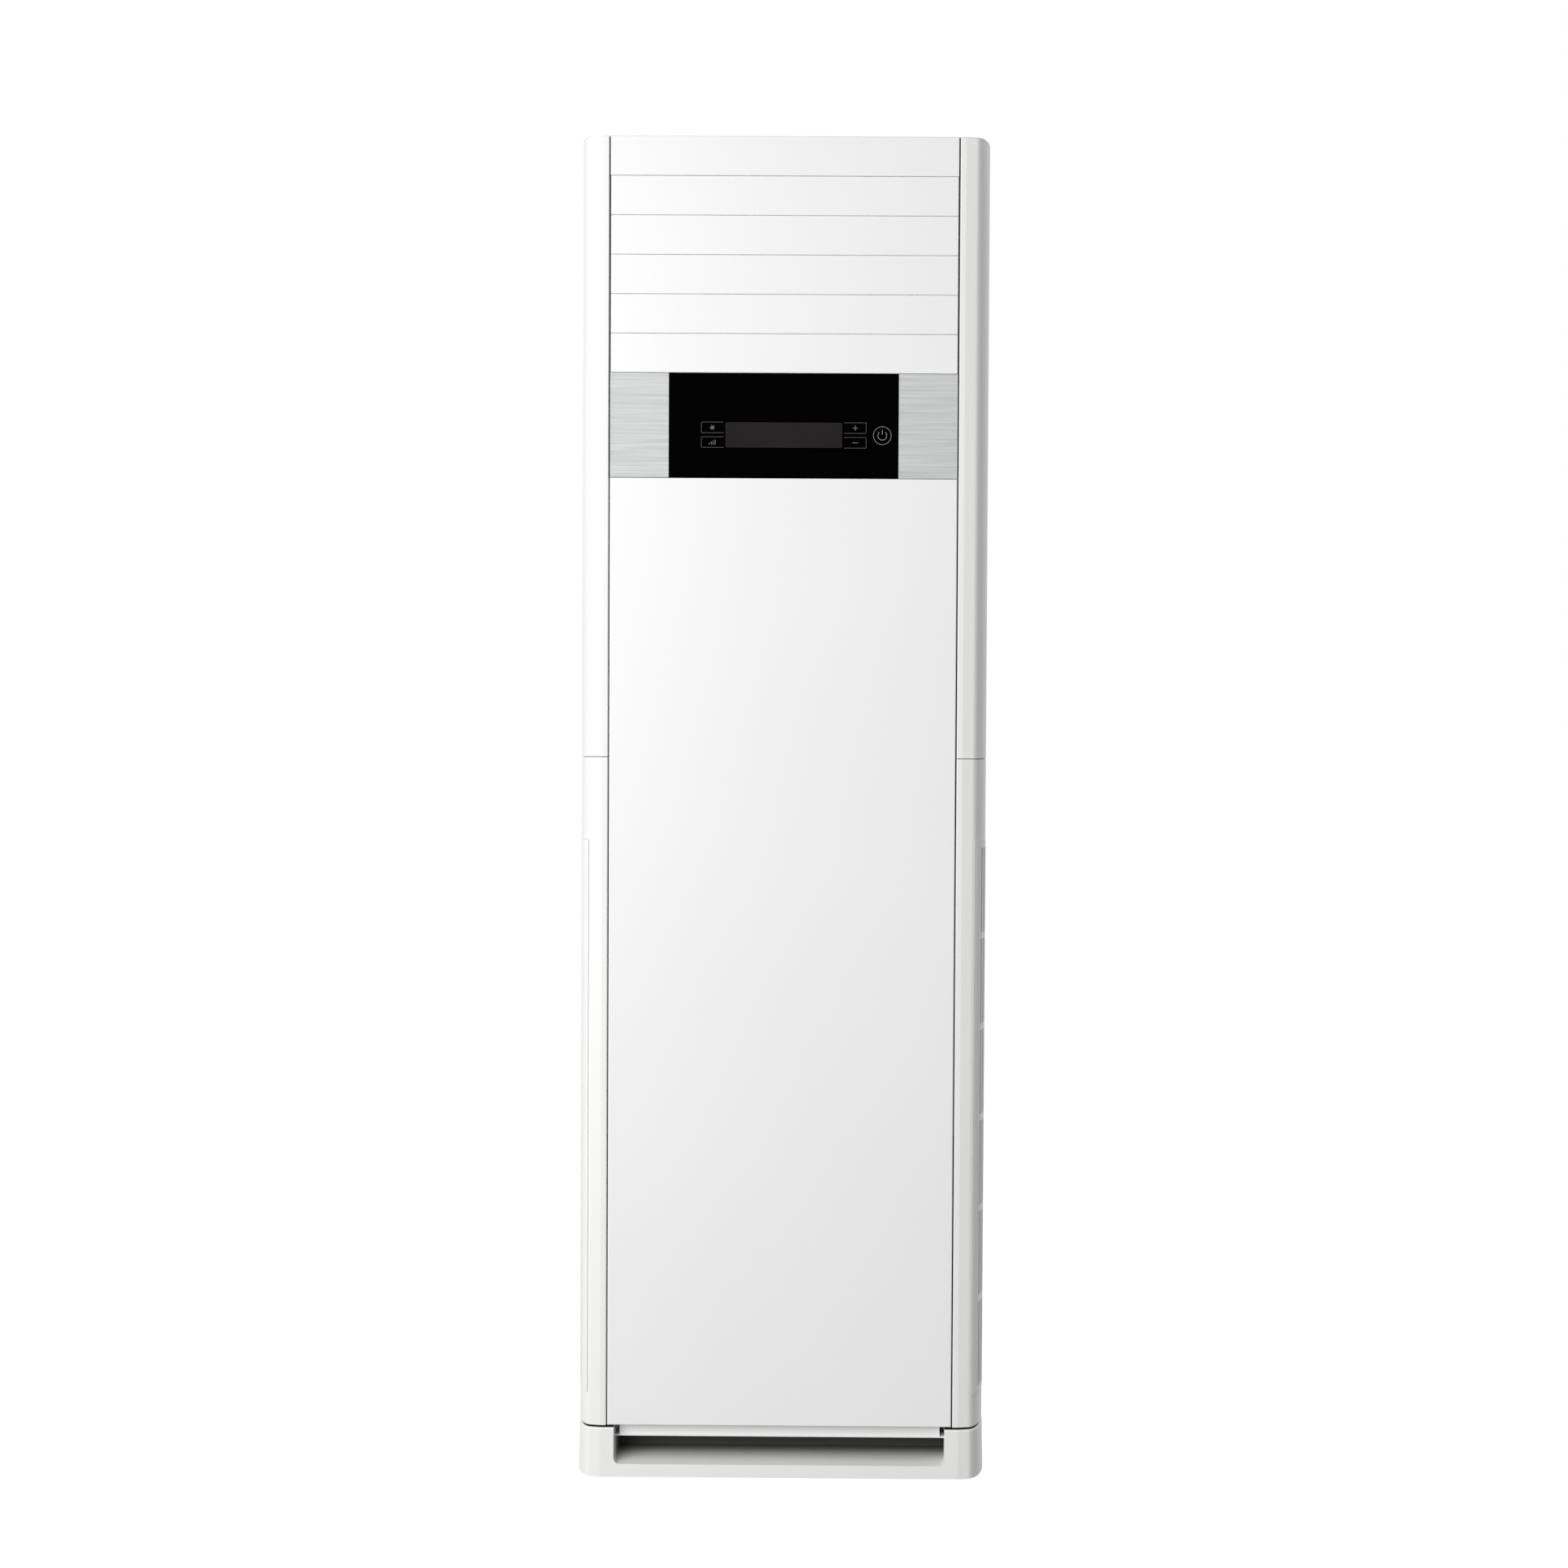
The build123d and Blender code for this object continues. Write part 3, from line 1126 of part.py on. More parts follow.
def make_flare_unions():
    """Brass unions brazed on the two pipe ends: socket, hexagon and flared nose."""
    unions = []
    for row, x, pipe_radius, nose, flow, across in (
        (1, GAS_DROP_X, GAS_RADIUS, GAS_NOSE, GAS_FLOW, GAS_HEX),
        (0, LIQUID_DROP_X, LIQUID_RADIUS, LIQUID_NOSE, LIQUID_FLOW, LIQUID_HEX),
    ):
        y = tube_place(row, TUBES_PER_ROW - 1)[0]
        hex_z = PIPE_END_Z - UNION_SHOULDER
        socket_z = hex_z + UNION_HEX
        tip = hex_z - UNION_NOSE
        top = socket_z + UNION_SOCKET
        union = rod_z(x, y, tip, hex_z, nose)
        union += Pos(x, y, hex_z) * extrude(RegularPolygon(across, HEX_SIDES), UNION_HEX)
        union += rod_z(x, y, socket_z, top, pipe_radius + MOULDING)
        union -= rod_z(x, y, PIPE_END_Z, top + OVERCUT, pipe_radius + RUNNING)
        unions.append(union - rod_z(x, y, tip - OVERCUT, PIPE_END_Z, flow))
    return unions


# ------------------------------------------------------------------ blower
def volute_right():
    """Inner face of the volute's outer wall at the outlet."""
    return FAN_X + VOLUTE_STEP / 2 + VOLUTE_FIRST + 2 * VOLUTE_STEP


def volute_face(grow):
    """Three quarter-arcs of growing radius that run into a straight upward outlet."""
    low = -VOLUTE_STEP / 2
    high = VOLUTE_STEP / 2
    first = VOLUTE_FIRST + grow
    second = first + VOLUTE_STEP
    third = second + VOLUTE_STEP
    x1, z1 = FAN_X + low, FAN_Z + low
    x2, z2 = FAN_X + high, FAN_Z + low
    x3, z3 = FAN_X + high, FAN_Z + high
    spiral = make_face(
        [
            CenterArc((x1, z1), first, RIGHT_ANGLE, RIGHT_ANGLE),
            CenterArc((x2, z2), second, HALF_TURN, RIGHT_ANGLE),
            CenterArc((x3, z3), third, -RIGHT_ANGLE, RIGHT_ANGLE),
            Line((x3 + third, z3), (x1, z1 + first)),
        ]
    )
    left = x1 - grow
    right = x3 + third
    chimney = Pos((left + right) / 2, (z3 + DECK_Z) / 2) * Rectangle(right - left, DECK_Z - z3)
    return spiral + chimney


def make_blower_housing():
    """Scroll band with its back plate and the flange that hangs it from the deck."""
    outer = Plane.XZ.offset(-VOLUTE_BACK) * volute_face(SHEET)
    inner = Plane.XZ.offset(-VOLUTE_BACK) * volute_face(0)
    length = VOLUTE_BACK - VOLUTE_FRONT
    band = extrude(outer, length) - extrude(inner, length)
    plate = extrude(outer, -SHEET)
    housing = band + plate
    left = FAN_X - VOLUTE_STEP / 2
    flange = block(
        left - SHEET - VOLUTE_FLANGE,
        volute_right() + SHEET + VOLUTE_FLANGE,
        VOLUTE_FRONT + SHEET,
        VOLUTE_BACK + SHEET + VOLUTE_FLANGE,
        DECK_Z - SHEET,
        DECK_Z,
    )
    housing += flange - block(left, volute_right(), VOLUTE_FRONT, VOLUTE_BACK, DECK_Z - SHEET, DECK_Z)
    return housing - rod_y(FAN_X, VOLUTE_BACK - OVERCUT, VOLUTE_BACK + SHEET + OVERCUT, FAN_Z, BACK_HOLE)


def make_blower_inlet_plate():
    """Front plate of the scroll with a rolled inlet ring."""
    sheet = extrude(Plane.XZ.offset(-VOLUTE_FRONT) * volute_face(SHEET), SHEET)
    mouth = INLET_THROAT + INLET_LIP
    sheet -= rod_y(FAN_X, VOLUTE_FRONT - SHEET - OVERCUT, VOLUTE_FRONT + OVERCUT, FAN_Z, mouth)
    profile = make_face(
        [
            Line((mouth + SHEET, 0), (mouth + SHEET, -SHEET)),
            Line((mouth + SHEET, -SHEET), (mouth, -SHEET)),
            CenterArc((mouth, INLET_LIP - SHEET), INLET_LIP, HALF_TURN, RIGHT_ANGLE),
            Line((mouth - INLET_LIP, INLET_LIP - SHEET), (mouth - INLET_LIP + SHEET, INLET_LIP - SHEET)),
            CenterArc((mouth, INLET_LIP - SHEET), INLET_LIP - SHEET, HALF_TURN, RIGHT_ANGLE),
            Line((mouth, 0), (mouth + SHEET, 0)),
        ]
    )
    ring = revolve(profile, Axis.Y)
    return sheet + Pos(FAN_X, VOLUTE_FRONT, FAN_Z) * ring


def make_fan_impeller():
    """Forward-curved blower wheel: back disc, hub, front ring and blades."""
    wheel = rod_y(0, FAN_BACK, FAN_BACK + FAN_DISC, 0, FAN_RADIUS)
    wheel += rod_y(0, FAN_BACK - HUB_LENGTH, FAN_BACK, 0, HUB_RADIUS)
    ring = rod_y(0, FAN_FRONT - FAN_DISC, FAN_FRONT, 0, FAN_RADIUS)
    wheel += ring - rod_y(0, FAN_FRONT - FAN_DISC, FAN_FRONT, 0, FAN_EYE)
    sweep_angle = math.radians(FAN_BLADE_SWEEP)
    outer = (FAN_RADIUS - FAN_BLADE) * math.cos(sweep_angle), (FAN_RADIUS - FAN_BLADE) * math.sin(sweep_angle)
    section = make_face(
        [
            ThreePointArc((FAN_EYE + FAN_BLADE, 0), (FAN_BLADE_MID, 0), outer),
            Line(outer, (outer[0], outer[1] + FAN_BLADE)),
            ThreePointArc(
                (outer[0], outer[1] + FAN_BLADE),
                (FAN_BLADE_MID, FAN_BLADE),
                (FAN_EYE + FAN_BLADE, FAN_BLADE),
            ),
            Line((FAN_EYE + FAN_BLADE, FAN_BLADE), (FAN_EYE + FAN_BLADE, 0)),
        ]
    )
    blade = extrude(Plane.XZ.offset(-FAN_BACK) * section, FAN_BACK - FAN_FRONT)
    turn = FULL_TURN / FAN_BLADES
    wheel = wheel + [Rot(0, turn * index, 0) * blade for index in range(FAN_BLADES)]
    reach = FAN_BACK + FAN_DISC + OVERCUT
    wheel -= rod_y(0, FAN_BACK - HUB_LENGTH - OVERCUT, reach, 0, FAN_SHAFT + RUNNING)
    return Pos(FAN_X, 0, FAN_Z) * wheel


def make_fan_shaft():
    """Motor shaft with the nut that holds the wheel."""
    shaft = rod_y(FAN_X, FAN_SHAFT_FRONT, FAN_SHAFT_REAR, FAN_Z, FAN_SHAFT)
    nut_back = FAN_BACK - HUB_LENGTH
    hexagon = extrude(Plane.XZ.offset(-nut_back) * RegularPolygon(FAN_NUT, HEX_SIDES), FAN_NUT_THICK)
    return shaft + Pos(FAN_X, 0, FAN_Z) * hexagon


BRACKET_Y = VOLUTE_BACK + SHEET
FAN_MOTOR_Y = BRACKET_Y + BRACKET_THICK


def make_motor_bracket():
    """Round plate between the scroll's back and the motor."""
    plate = rod_y(FAN_X, BRACKET_Y, FAN_MOTOR_Y, FAN_Z, BRACKET_RADIUS)
    return plate - rod_y(FAN_X, BRACKET_Y - OVERCUT, FAN_MOTOR_Y + OVERCUT, FAN_Z, BRACKET_HOLE)


def make_fan_motor():
    """Motor can with a seam band and a bore for the shaft."""
    back = FAN_MOTOR_Y + FAN_MOTOR_LENGTH
    can = rod_y(FAN_X, FAN_MOTOR_Y, back, FAN_Z, FAN_MOTOR_RADIUS)
    can = fillet(can.edges().filter_by(GeomType.CIRCLE).sort_by(Axis.Y)[-1], FAN_MOTOR_EDGE)
    middle = FAN_MOTOR_Y + FAN_MOTOR_LENGTH / 2
    band = FAN_MOTOR_BAND
    can += rod_y(FAN_X, middle - band, middle + band, FAN_Z, FAN_MOTOR_RADIUS + band)
    return can - rod_y(FAN_X, FAN_MOTOR_Y, FAN_SHAFT_REAR + SEAT, FAN_Z, FAN_SHAFT + RUNNING)


# ------------------------------------------------------------------ electrics
def make_electrical_box():
    """Steel tray for the electrics, hung from the deck by two lugs."""
    tray = block(-BOX_HALF, BOX_HALF, BOX_FRONT, BOX_REAR, BOX_BOTTOM, BOX_TOP)
    inner = BOX_HALF - SHEET
    tray -= block(-inner, inner, BOX_FRONT, BOX_REAR - SHEET, BOX_BOTTOM + SHEET, BOX_TOP - SHEET)
    for sign in (-1, 1):
        x = sign * BOX_LUG_X
        tray += block(x - BOX_LUG / 2, x + BOX_LUG / 2, BOX_REAR - SHEET, BOX_REAR, BOX_TOP - SHEET, DECK_Z)
    return tray


def make_electrical_box_cover():
    """Flat lid of the electrical box, turned over its edges."""
    half = BOX_HALF + COVER_THICK + SEAT
    z0 = BOX_BOTTOM - COVER_THICK - SEAT
    z1 = BOX_TOP + COVER_THICK + SEAT
    lip = BOX_FRONT + COVER_LIP
    lid = block(-half, half, BOX_FRONT - COVER_THICK, lip, z0, z1)
    inner = half - COVER_THICK
    return lid - block(-inner, inner, BOX_FRONT, lip, z0 + COVER_THICK, z1 - COVER_THICK)


def make_control_board():
    """Control board with its transformer, capacitor, relays and terminal strip."""
    back = BOX_REAR - SHEET
    face = back - PCB_STANDOFF - PCB_THICK
    middle = (BOX_BOTTOM + BOX_TOP) / 2
    half = BOX_HALF - PCB_MARGIN
    rise = BOX_HEIGHT / 2 - PCB_STANDOFF
    board = block(-half, half, face, face + PCB_THICK, middle - rise, middle + rise)
    for sign in (-1, 1):
        for up in (-1, 1):
            corner_x = sign * (half - PCB_STANDOFF)
            corner_z = middle + up * (rise - PCB_STANDOFF)
            board += rod_y(corner_x, face + PCB_THICK, back, corner_z, BOSS_WALL)
    left = PCB_MARGIN - half
    coil = TRANSFORMER_SIDE / 2
    coil_face = face - TRANSFORMER_DEPTH
    board += block(left, left + TRANSFORMER_SIDE, coil_face, face, middle - coil, middle + coil)
    can_x = left + TRANSFORMER_SIDE + 2 * CAPACITOR_RADIUS
    board += rod_y(can_x, face - CAPACITOR_LENGTH, face, middle + CAPACITOR_RADIUS, CAPACITOR_RADIUS)
    for relay in range(RELAY_COUNT):
        x = relay * RELAY_PITCH
        foot = middle + RELAY_WIDTH
        board += block(x, x + RELAY_WIDTH, face - RELAY_DEPTH, face, foot, foot + RELAY_HEIGHT)
    strip_top = middle - TERMINAL_DROP
    strip_x = -TERMINAL_PITCH
    strip_end = strip_x + TERMINAL_COUNT * TERMINAL_PITCH
    strip_front = face - TERMINAL_DEPTH
    board += block(strip_x, strip_end, strip_front, face, strip_top - TERMINAL_HEIGHT, strip_top)
    rest = (TERMINAL_PITCH - TERMINAL_SLOT) / 2
    low = strip_top - TERMINAL_HEIGHT / 2 - TERMINAL_SLOT / 2
    for terminal in range(TERMINAL_COUNT):
        x = strip_x + terminal * TERMINAL_PITCH + rest
        reach = strip_front + TERMINAL_DEPTH / 2
        board -= block(x, x + TERMINAL_SLOT, strip_front, reach, low, low + TERMINAL_SLOT)
    return board


# ------------------------------------------------------------------ rear fittings
def make_pipe_grommet():
    """Rubber ring in the pipe hole."""
    y0 = REAR_OUTER - GROMMET_LENGTH + MOULDING
    y1 = y0 + GROMMET_LENGTH
    ring = rod_y(PIPE_HOLE_X, y0, y1, PIPE_HOLE_Z, PIPE_HOLE - SEAT)
    ring += rod_y(PIPE_HOLE_X, REAR_OUTER, y1, PIPE_HOLE_Z, GROMMET_RIM)
    ring += rod_y(PIPE_HOLE_X, y0, REAR_INNER, PIPE_HOLE_Z, GROMMET_RIM)
    return ring - rod_y(PIPE_HOLE_X, y0 - OVERCUT, y1 + OVERCUT, PIPE_HOLE_Z, GROMMET_BORE)


def make_cable_gland():
    """Threaded gland for the supply lead, nut inside and dome outside."""
    y0 = REAR_INNER - GLAND_IN
    y1 = REAR_OUTER + GLAND_OUT
    body = rod_y(GLAND_X, y0, y1, GLAND_Z, GLAND_THREAD)
    nut = Plane.XZ.offset(-REAR_INNER) * RegularPolygon(GLAND_HEX, HEX_SIDES)
    dome_base = Plane.XZ.offset(-REAR_OUTER - GLAND_OUT / 2) * RegularPolygon(GLAND_HEX, HEX_SIDES)
    place = Pos(GLAND_X, 0, GLAND_Z)
    body += place * extrude(nut, GLAND_IN / 2)
    body += place * extrude(dome_base, GLAND_OUT / 2)
    return body - rod_y(GLAND_X, y0 - OVERCUT, y1 + OVERCUT, GLAND_Z, GLAND_BORE)


def make_wall_bracket():
    """Stepped anti-tip bracket at the top of the back, with two wall holes."""
    step_back = WALL_BRACKET_OUT - WALL_BRACKET_PLATE
    plate = WALL_BRACKET_PLATE
    foot_top = WALL_BRACKET_STEP + plate
    bracket = block(-BRACKET_WIDE, BRACKET_WIDE, REAR_OUTER, REAR_OUTER + plate, WALL_BRACKET_FOOT, foot_top)
    bracket += block(-BRACKET_WIDE, BRACKET_WIDE, REAR_OUTER, WALL_BRACKET_OUT, WALL_BRACKET_STEP, foot_top)
    bracket += block(
        -BRACKET_WIDE, BRACKET_WIDE, step_back, WALL_BRACKET_OUT, WALL_BRACKET_STEP, WALL_BRACKET_TOP
    )
    hole_z = (WALL_BRACKET_STEP + plate + WALL_BRACKET_TOP) / 2
    for sign in (-1, 1):
        x = sign * WALL_HOLE_SPACING / 2
        bracket -= rod_y(x, step_back - OVERCUT, WALL_BRACKET_OUT + OVERCUT, hole_z, WALL_HOLE)
    return bracket


# ------------------------------------------------------------------ write every piece
upper_post = make_upper_post()
lower_post = make_lower_post()
intake_grille = make_intake_grille()
side_panel = make_side_panel()
air_filter = make_filter()

pieces = {
    "base_plinth": make_base_plinth(),
    "base_pads": make_base_pads(),
    "right_upper_post": upper_post,
    "left_upper_post": other_side(upper_post),
    "right_lower_post": lower_post,
    "left_lower_post": other_side(lower_post),
    "right_intake_grille": intake_grille,
    "left_intake_grille": other_side(intake_grille),
    "right_side_panel": side_panel,
    "left_side_panel": other_side(side_panel),
    "right_filter": air_filter,
    "left_filter": other_side(air_filter),
    "filter_rails": make_filter_rails(),
    "rear_panel": make_rear_panel(),
    "top_cover": make_top_cover(),
    "casing_screws": make_casing_screws(),
    "front_panel": make_front_panel(),
    "display_glass": make_display_glass(),
    "trim_plates": make_trim_plates(),
    "display_frame": make_display_frame(),
    "display_board": make_display_board(),
    "outlet_fascia": make_outlet_fascia(),
    "outlet_frame": make_outlet_frame(),
    "louvre_link": make_louvre_link(),
    "louvre_crank": make_louvre_crank(),
    "louvre_motor": make_louvre_motor(),
    "vane_link": make_vane_link(),
    "vane_motor": make_vane_motor(),
    "outlet_duct": make_outlet_duct(),
    "inner_panel": make_inner_panel(),
    "deck_plate": make_deck_plate(),
    "evaporator_fins": make_evaporator_fins(),
    "evaporator_tubes": make_evaporator_tubes(),
    "drain_pan": make_drain_pan(),
    "drain_hose": make_drain_hose(),
    "gas_pipe": make_pipe(1, GAS_OUT_X, GAS_CROSS_Z, GAS_DROP_X, GAS_RADIUS),
    "liquid_pipe": make_pipe(0, LIQUID_OUT_X, LIQUID_CROSS_Z, LIQUID_DROP_X, LIQUID_RADIUS),
    "flare_unions": make_flare_unions(),
    "blower_housing": make_blower_housing(),
    "blower_inlet_plate": make_blower_inlet_plate(),
    "fan_impeller": make_fan_impeller(),
    "fan_shaft": make_fan_shaft(),
    "motor_bracket": make_motor_bracket(),
    "fan_motor": make_fan_motor(),
    "electrical_box": make_electrical_box(),
    "electrical_box_cover": make_electrical_box_cover(),
    "control_board": make_control_board(),
    "pipe_grommet": make_pipe_grommet(),
    "cable_gland": make_cable_gland(),
    "wall_bracket": make_wall_bracket(),
}
for number in range(LOUVRE_COUNT):
    pieces[f"louvre_blade_{number + 1}"] = make_louvre_blade(number)
for number in range(VANE_COUNT):
    pieces[f"vane_{number + 1}"] = make_vane(number)

os.makedirs("parts", exist_ok=True)
for name, piece in pieces.items():
    if isinstance(piece, list):
        solids = [solid for member in piece for solid in member.solids()]
        piece = Compound(solids)
    export_step(piece, f"parts/{name}.step")
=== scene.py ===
import math

import bmesh
import bpy
from bpy.props import FloatProperty, FloatVectorProperty, PointerProperty
from mathutils import Matrix, Vector


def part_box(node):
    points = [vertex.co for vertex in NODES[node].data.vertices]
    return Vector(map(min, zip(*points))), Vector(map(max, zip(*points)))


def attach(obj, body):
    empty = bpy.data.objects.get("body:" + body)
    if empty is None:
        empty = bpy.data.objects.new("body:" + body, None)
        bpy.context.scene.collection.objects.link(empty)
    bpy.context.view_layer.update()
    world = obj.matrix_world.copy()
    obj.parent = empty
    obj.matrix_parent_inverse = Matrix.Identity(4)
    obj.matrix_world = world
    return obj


bl_info = {
    "name": "Cabinet air conditioner",
    "version": (1, 0, 0),
    "blender": (4, 5, 0),
    "location": "3D View > Sidebar > Conditioner",
    "description": "Dresses the parts of a floor-standing cabinet air conditioner",
    "category": "Object",
}

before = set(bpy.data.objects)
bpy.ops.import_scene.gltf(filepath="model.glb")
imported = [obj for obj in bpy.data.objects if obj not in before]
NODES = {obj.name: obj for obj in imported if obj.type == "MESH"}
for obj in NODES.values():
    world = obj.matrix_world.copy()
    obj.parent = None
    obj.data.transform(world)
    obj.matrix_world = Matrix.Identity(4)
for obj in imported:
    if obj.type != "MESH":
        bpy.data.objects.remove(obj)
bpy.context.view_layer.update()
MM = 0.001
# A length too small to matter.
SLIGHT = MM / 1000
# Axes by number, and the least share of a unit normal on an axis that counts as facing it.
DEEP, UP = 1, 2
MOSTLY = 0.9

# ------------------------------------------------------------------ sizes that stay fixed
# Toe recess of the plinth: half its width, its rear wall and the foot of the toe rail.
RECESS_HALF = 229.8 * MM
RECESS_BACK = -114 * MM
RAIL_FOOT = 53.5 * MM
# Painted shade on the recess floor: where it begins, and where it is at its darkest.
PAINTED_SHADE_FRONT = -195 * MM
PAINTED_SHADE_BACK = -140 * MM

# Sponge strips: two upright behind the front panel's edges, one ring round the plinth's neck.
# They sit right behind the gaps, so their near black is painted shade in the gaps.
PANEL_GAP = 1.79 * MM
STRIP_WIDE = 5.2 * MM
STRIP_THICK = 2.6 * MM
STRIP_ROUND = STRIP_THICK / 4
NECK_HEIGHT = 3.5 * MM
NECK_SEAL = 3.5 * MM

# Stiffening beads of the back sheet: two in each row, from the middle gap out to the ends.
# BEAD_FOOT is how many rows' room stays bare below the lowest one.
BEAD_ROWS = 6
BEAD_FOOT = 1.5
BEAD_END = 205 * MM
BEAD_GAP = 20 * MM
BEAD_WIDE = 16 * MM
BEAD_PROUD = 3 * MM
BEAD_SUNK = 0.6 * MM
BEAD_ROUND = BEAD_WIDE * 0.49
BEAD_CROWN = BEAD_PROUD * 0.95

# Print on the display glass, measured from the middle of the display cell.
CELL_DROP = 12.8 * MM
CELL_WIDE = 160 * MM
CELL_HIGH = 34.5 * MM
CELL_CORNER = 1.2 * MM
KEY_WIDE = 30 * MM
KEY_HIGH = 14.5 * MM
KEY_ACROSS = 98 * MM
KEY_SPLIT = 20.1 * MM
SIGN_ARM = 3.2 * MM
STAR_TURNS = (0, 60, 120)
BAR_PITCH = 2.6 * MM
BAR_RISES = (2.0 * MM, 3.4 * MM, 4.8 * MM, 6.2 * MM)
POWER_ACROSS = 135.2 * MM
POWER_RADIUS = 12.2 * MM
# The sign in the ring, as shares of the ring's line and radius: its line, arc and upright bar.
POWER_LINE = 1.3
POWER_INNER = 0.5
POWER_BAR = (0.12, 0.62)
POWER_ARC = (math.radians(-50), math.radians(230))

# Stage, in metres, watts and degrees. The camera stands where the photograph was taken.
FLOOR_HALF = 30
FLOOR_GLOW = 0.93
WORLD_LIGHT = 0.42
WORLD_SEEN = 1.0
AIM = (0, 0, 0.9)
# Each lamp: name, place, width and height of its face, power.
LAMPS = (
    ("front_soft_box", (-2.35, -3.4, 1.75), 3.4, 2.9, 165),
    ("high_soft_box", (2.2, 1.7, 4.3), 2.2, 2.2, 60),
)
CAMERA_PLACE = (0.15164, -3.17956, 1.03459)
CAMERA_DIP = 1.397
CAMERA_TURN = 0.268
CAMERA_ROLL = 0.3425
CAMERA_LENS = 49.72
CAMERA_SENSOR = 36
CAMERA_SHIFT = (-0.06253, 0.00152)
CAMERA_CLIP = (0.05, 200)


# ------------------------------------------------------------------ colours and nodes
def linear(hex_text):
    """An sRGB hex value as linear red, green and blue."""
    parts = [int(hex_text[i : i + 2], 16) / 255 for i in (1, 3, 5)]
    return tuple(c / 12.92 if c <= 0.04045 else ((c + 0.055) / 1.055) ** 2.4 for c in parts)


def rgba(colour):
    """A linear colour with full alpha."""
    return (*colour, 1.0)


def shade(colour, factor):
    """A colour made darker or paler."""
    return tuple(min(1.0, c * factor) for c in colour)


def add(tree, kind, settings=None, values=None, links=None):
    """Adds one node with its settings, socket values and links."""
    made = tree.nodes.new(kind)
    for name, value in (settings or {}).items():
        setattr(made, name, value)
    for name, value in (values or {}).items():
        made.inputs[name].default_value = value
    for name, source in (links or {}).items():
        tree.links.new(source, made.inputs[name])
    return made


def maths(tree, operation, first, second=None):
    """The result of one Math node, whose terms are sockets or plain numbers."""
    terms = {i: term for i, term in enumerate((first, second)) if term is not None}
    links = {i: term for i, term in terms.items() if isinstance(term, bpy.types.NodeSocket)}
    values = {i: term for i, term in terms.items() if i not in links}
    return add(tree, "ShaderNodeMath", {"operation": operation}, values, links).outputs[0]


def blank(name):
    """A named material with an empty tree."""
    material = bpy.data.materials.new(name)
    material.use_nodes = True
    material.node_tree.nodes.clear()
    return material, material.node_tree


def start(name, **values):
    """A named material with one surface shader, its tree and its Object coordinates."""
    material, tree = blank(name)
    shader = add(tree, "ShaderNodeBsdfPrincipled", values=values)
    add(tree, "ShaderNodeOutputMaterial", links={"Surface": shader.outputs["BSDF"]})
    place = add(tree, "ShaderNodeTexCoord").outputs["Object"]
    return material, tree, shader, place


def noise(tree, place, scale, detail=2.0, **values):
    """Noise with so many features to the metre."""
    made = add(tree, "ShaderNodeTexNoise", None, {"Scale": scale, "Detail": detail, **values},
               {"Vector": place})
    return made.outputs["Fac"]


def cells(tree, place, size, **settings):
    """Voronoi cells of a given size."""
    return add(tree, "ShaderNodeTexVoronoi", settings, {"Scale": 1 / size}, {"Vector": place})


def axis(tree, place, name):
    """One coordinate of a place."""
    return add(tree, "ShaderNodeSeparateXYZ", links={"Vector": place}).outputs[name]


def ripple(tree, along, pitch):
    """A sine wave with a given pitch."""
    return maths(tree, "SINE", maths(tree, "MULTIPLY", along, math.tau / pitch))


def seen_directly(tree):
    """1 for camera, glossy and transmission rays, and 0 for the rays that light the object."""
    rays = add(tree, "ShaderNodeLightPath").outputs
    seen = maths(tree, "MAXIMUM", rays["Is Camera Ray"], rays["Is Glossy Ray"])
    return maths(tree, "MAXIMUM", seen, rays["Is Transmission Ray"])


def tint(tree, shader, factor, dark, pale, low=0.3, high=0.7):
    """Drives the shader's colour by a ramp from dark to pale between two positions."""
    made = add(tree, "ShaderNodeValToRGB", links={"Fac": factor})
    ends = made.color_ramp.elements
    for end, position, colour in zip(ends, (low, high), (dark, pale)):
        end.position = position
        end.color = rgba(colour)
    tree.links.new(made.outputs["Color"], shader.inputs["Base Color"])


def relief(tree, shader, height, strength, depth):
    """Drives the shader's normal by a bump of a given depth."""
    bump = add(tree, "ShaderNodeBump", None, {"Strength": strength, "Distance": depth},
               {"Height": height})
    tree.links.new(bump.outputs["Normal"], shader.inputs["Normal"])


def polish(tree, shader, source, smooth, rough):
    """Drives the shader's roughness between two values."""
    made = add(tree, "ShaderNodeMapRange", None, {"To Min": smooth, "To Max": rough},
               {"Value": source})
    tree.links.new(made.outputs["Result"], shader.inputs["Roughness"])


def dress(material, *names):
    """Gives CAD nodes their finish."""
    for name in names:
        slots = NODES[name].data.materials
        slots.clear()
        slots.append(material)


# ------------------------------------------------------------------ settings in the sidebar
def colour_field(name, description, hex_text):
    """A colour setting with its default."""
    return FloatVectorProperty(name=name, description=description, subtype="COLOR", size=3,
                               min=0, max=1, default=linear(hex_text))


def length_field(name, description, default):
    """A length setting with its default."""
    return FloatProperty(name=name, description=description, unit="LENGTH", default=default)


class ConditionerColours(bpy.types.PropertyGroup):
    """Colours of the visible pieces."""

    gloss_white: colour_field(
        "Gloss white", "Front panel, top strip and louvre blades", "#efefef")
    satin_white: colour_field(
        "Satin white", "Corner posts, intake grilles and plinth", "#ededec")
    paint_white: colour_field("Paint white", "Side sheets", "#ebebea")
    glass_black: colour_field("Glass black", "Back-painted display glass", "#020202")
    cell_grey: colour_field(
        "Display cell grey", "Unlit display cell behind the glass", "#252324")
    outline_grey: colour_field("Outline grey", "Key outlines on the glass", "#6e6e6e")
    sign_grey: colour_field("Sign grey", "Signs printed on the keys", "#9a9a9a")
    brushed_grey: colour_field("Brushed grey", "Metal plates beside the glass", "#bebfbf")
    cover_white: colour_field("Cover white", "Top cover", "#dededc")


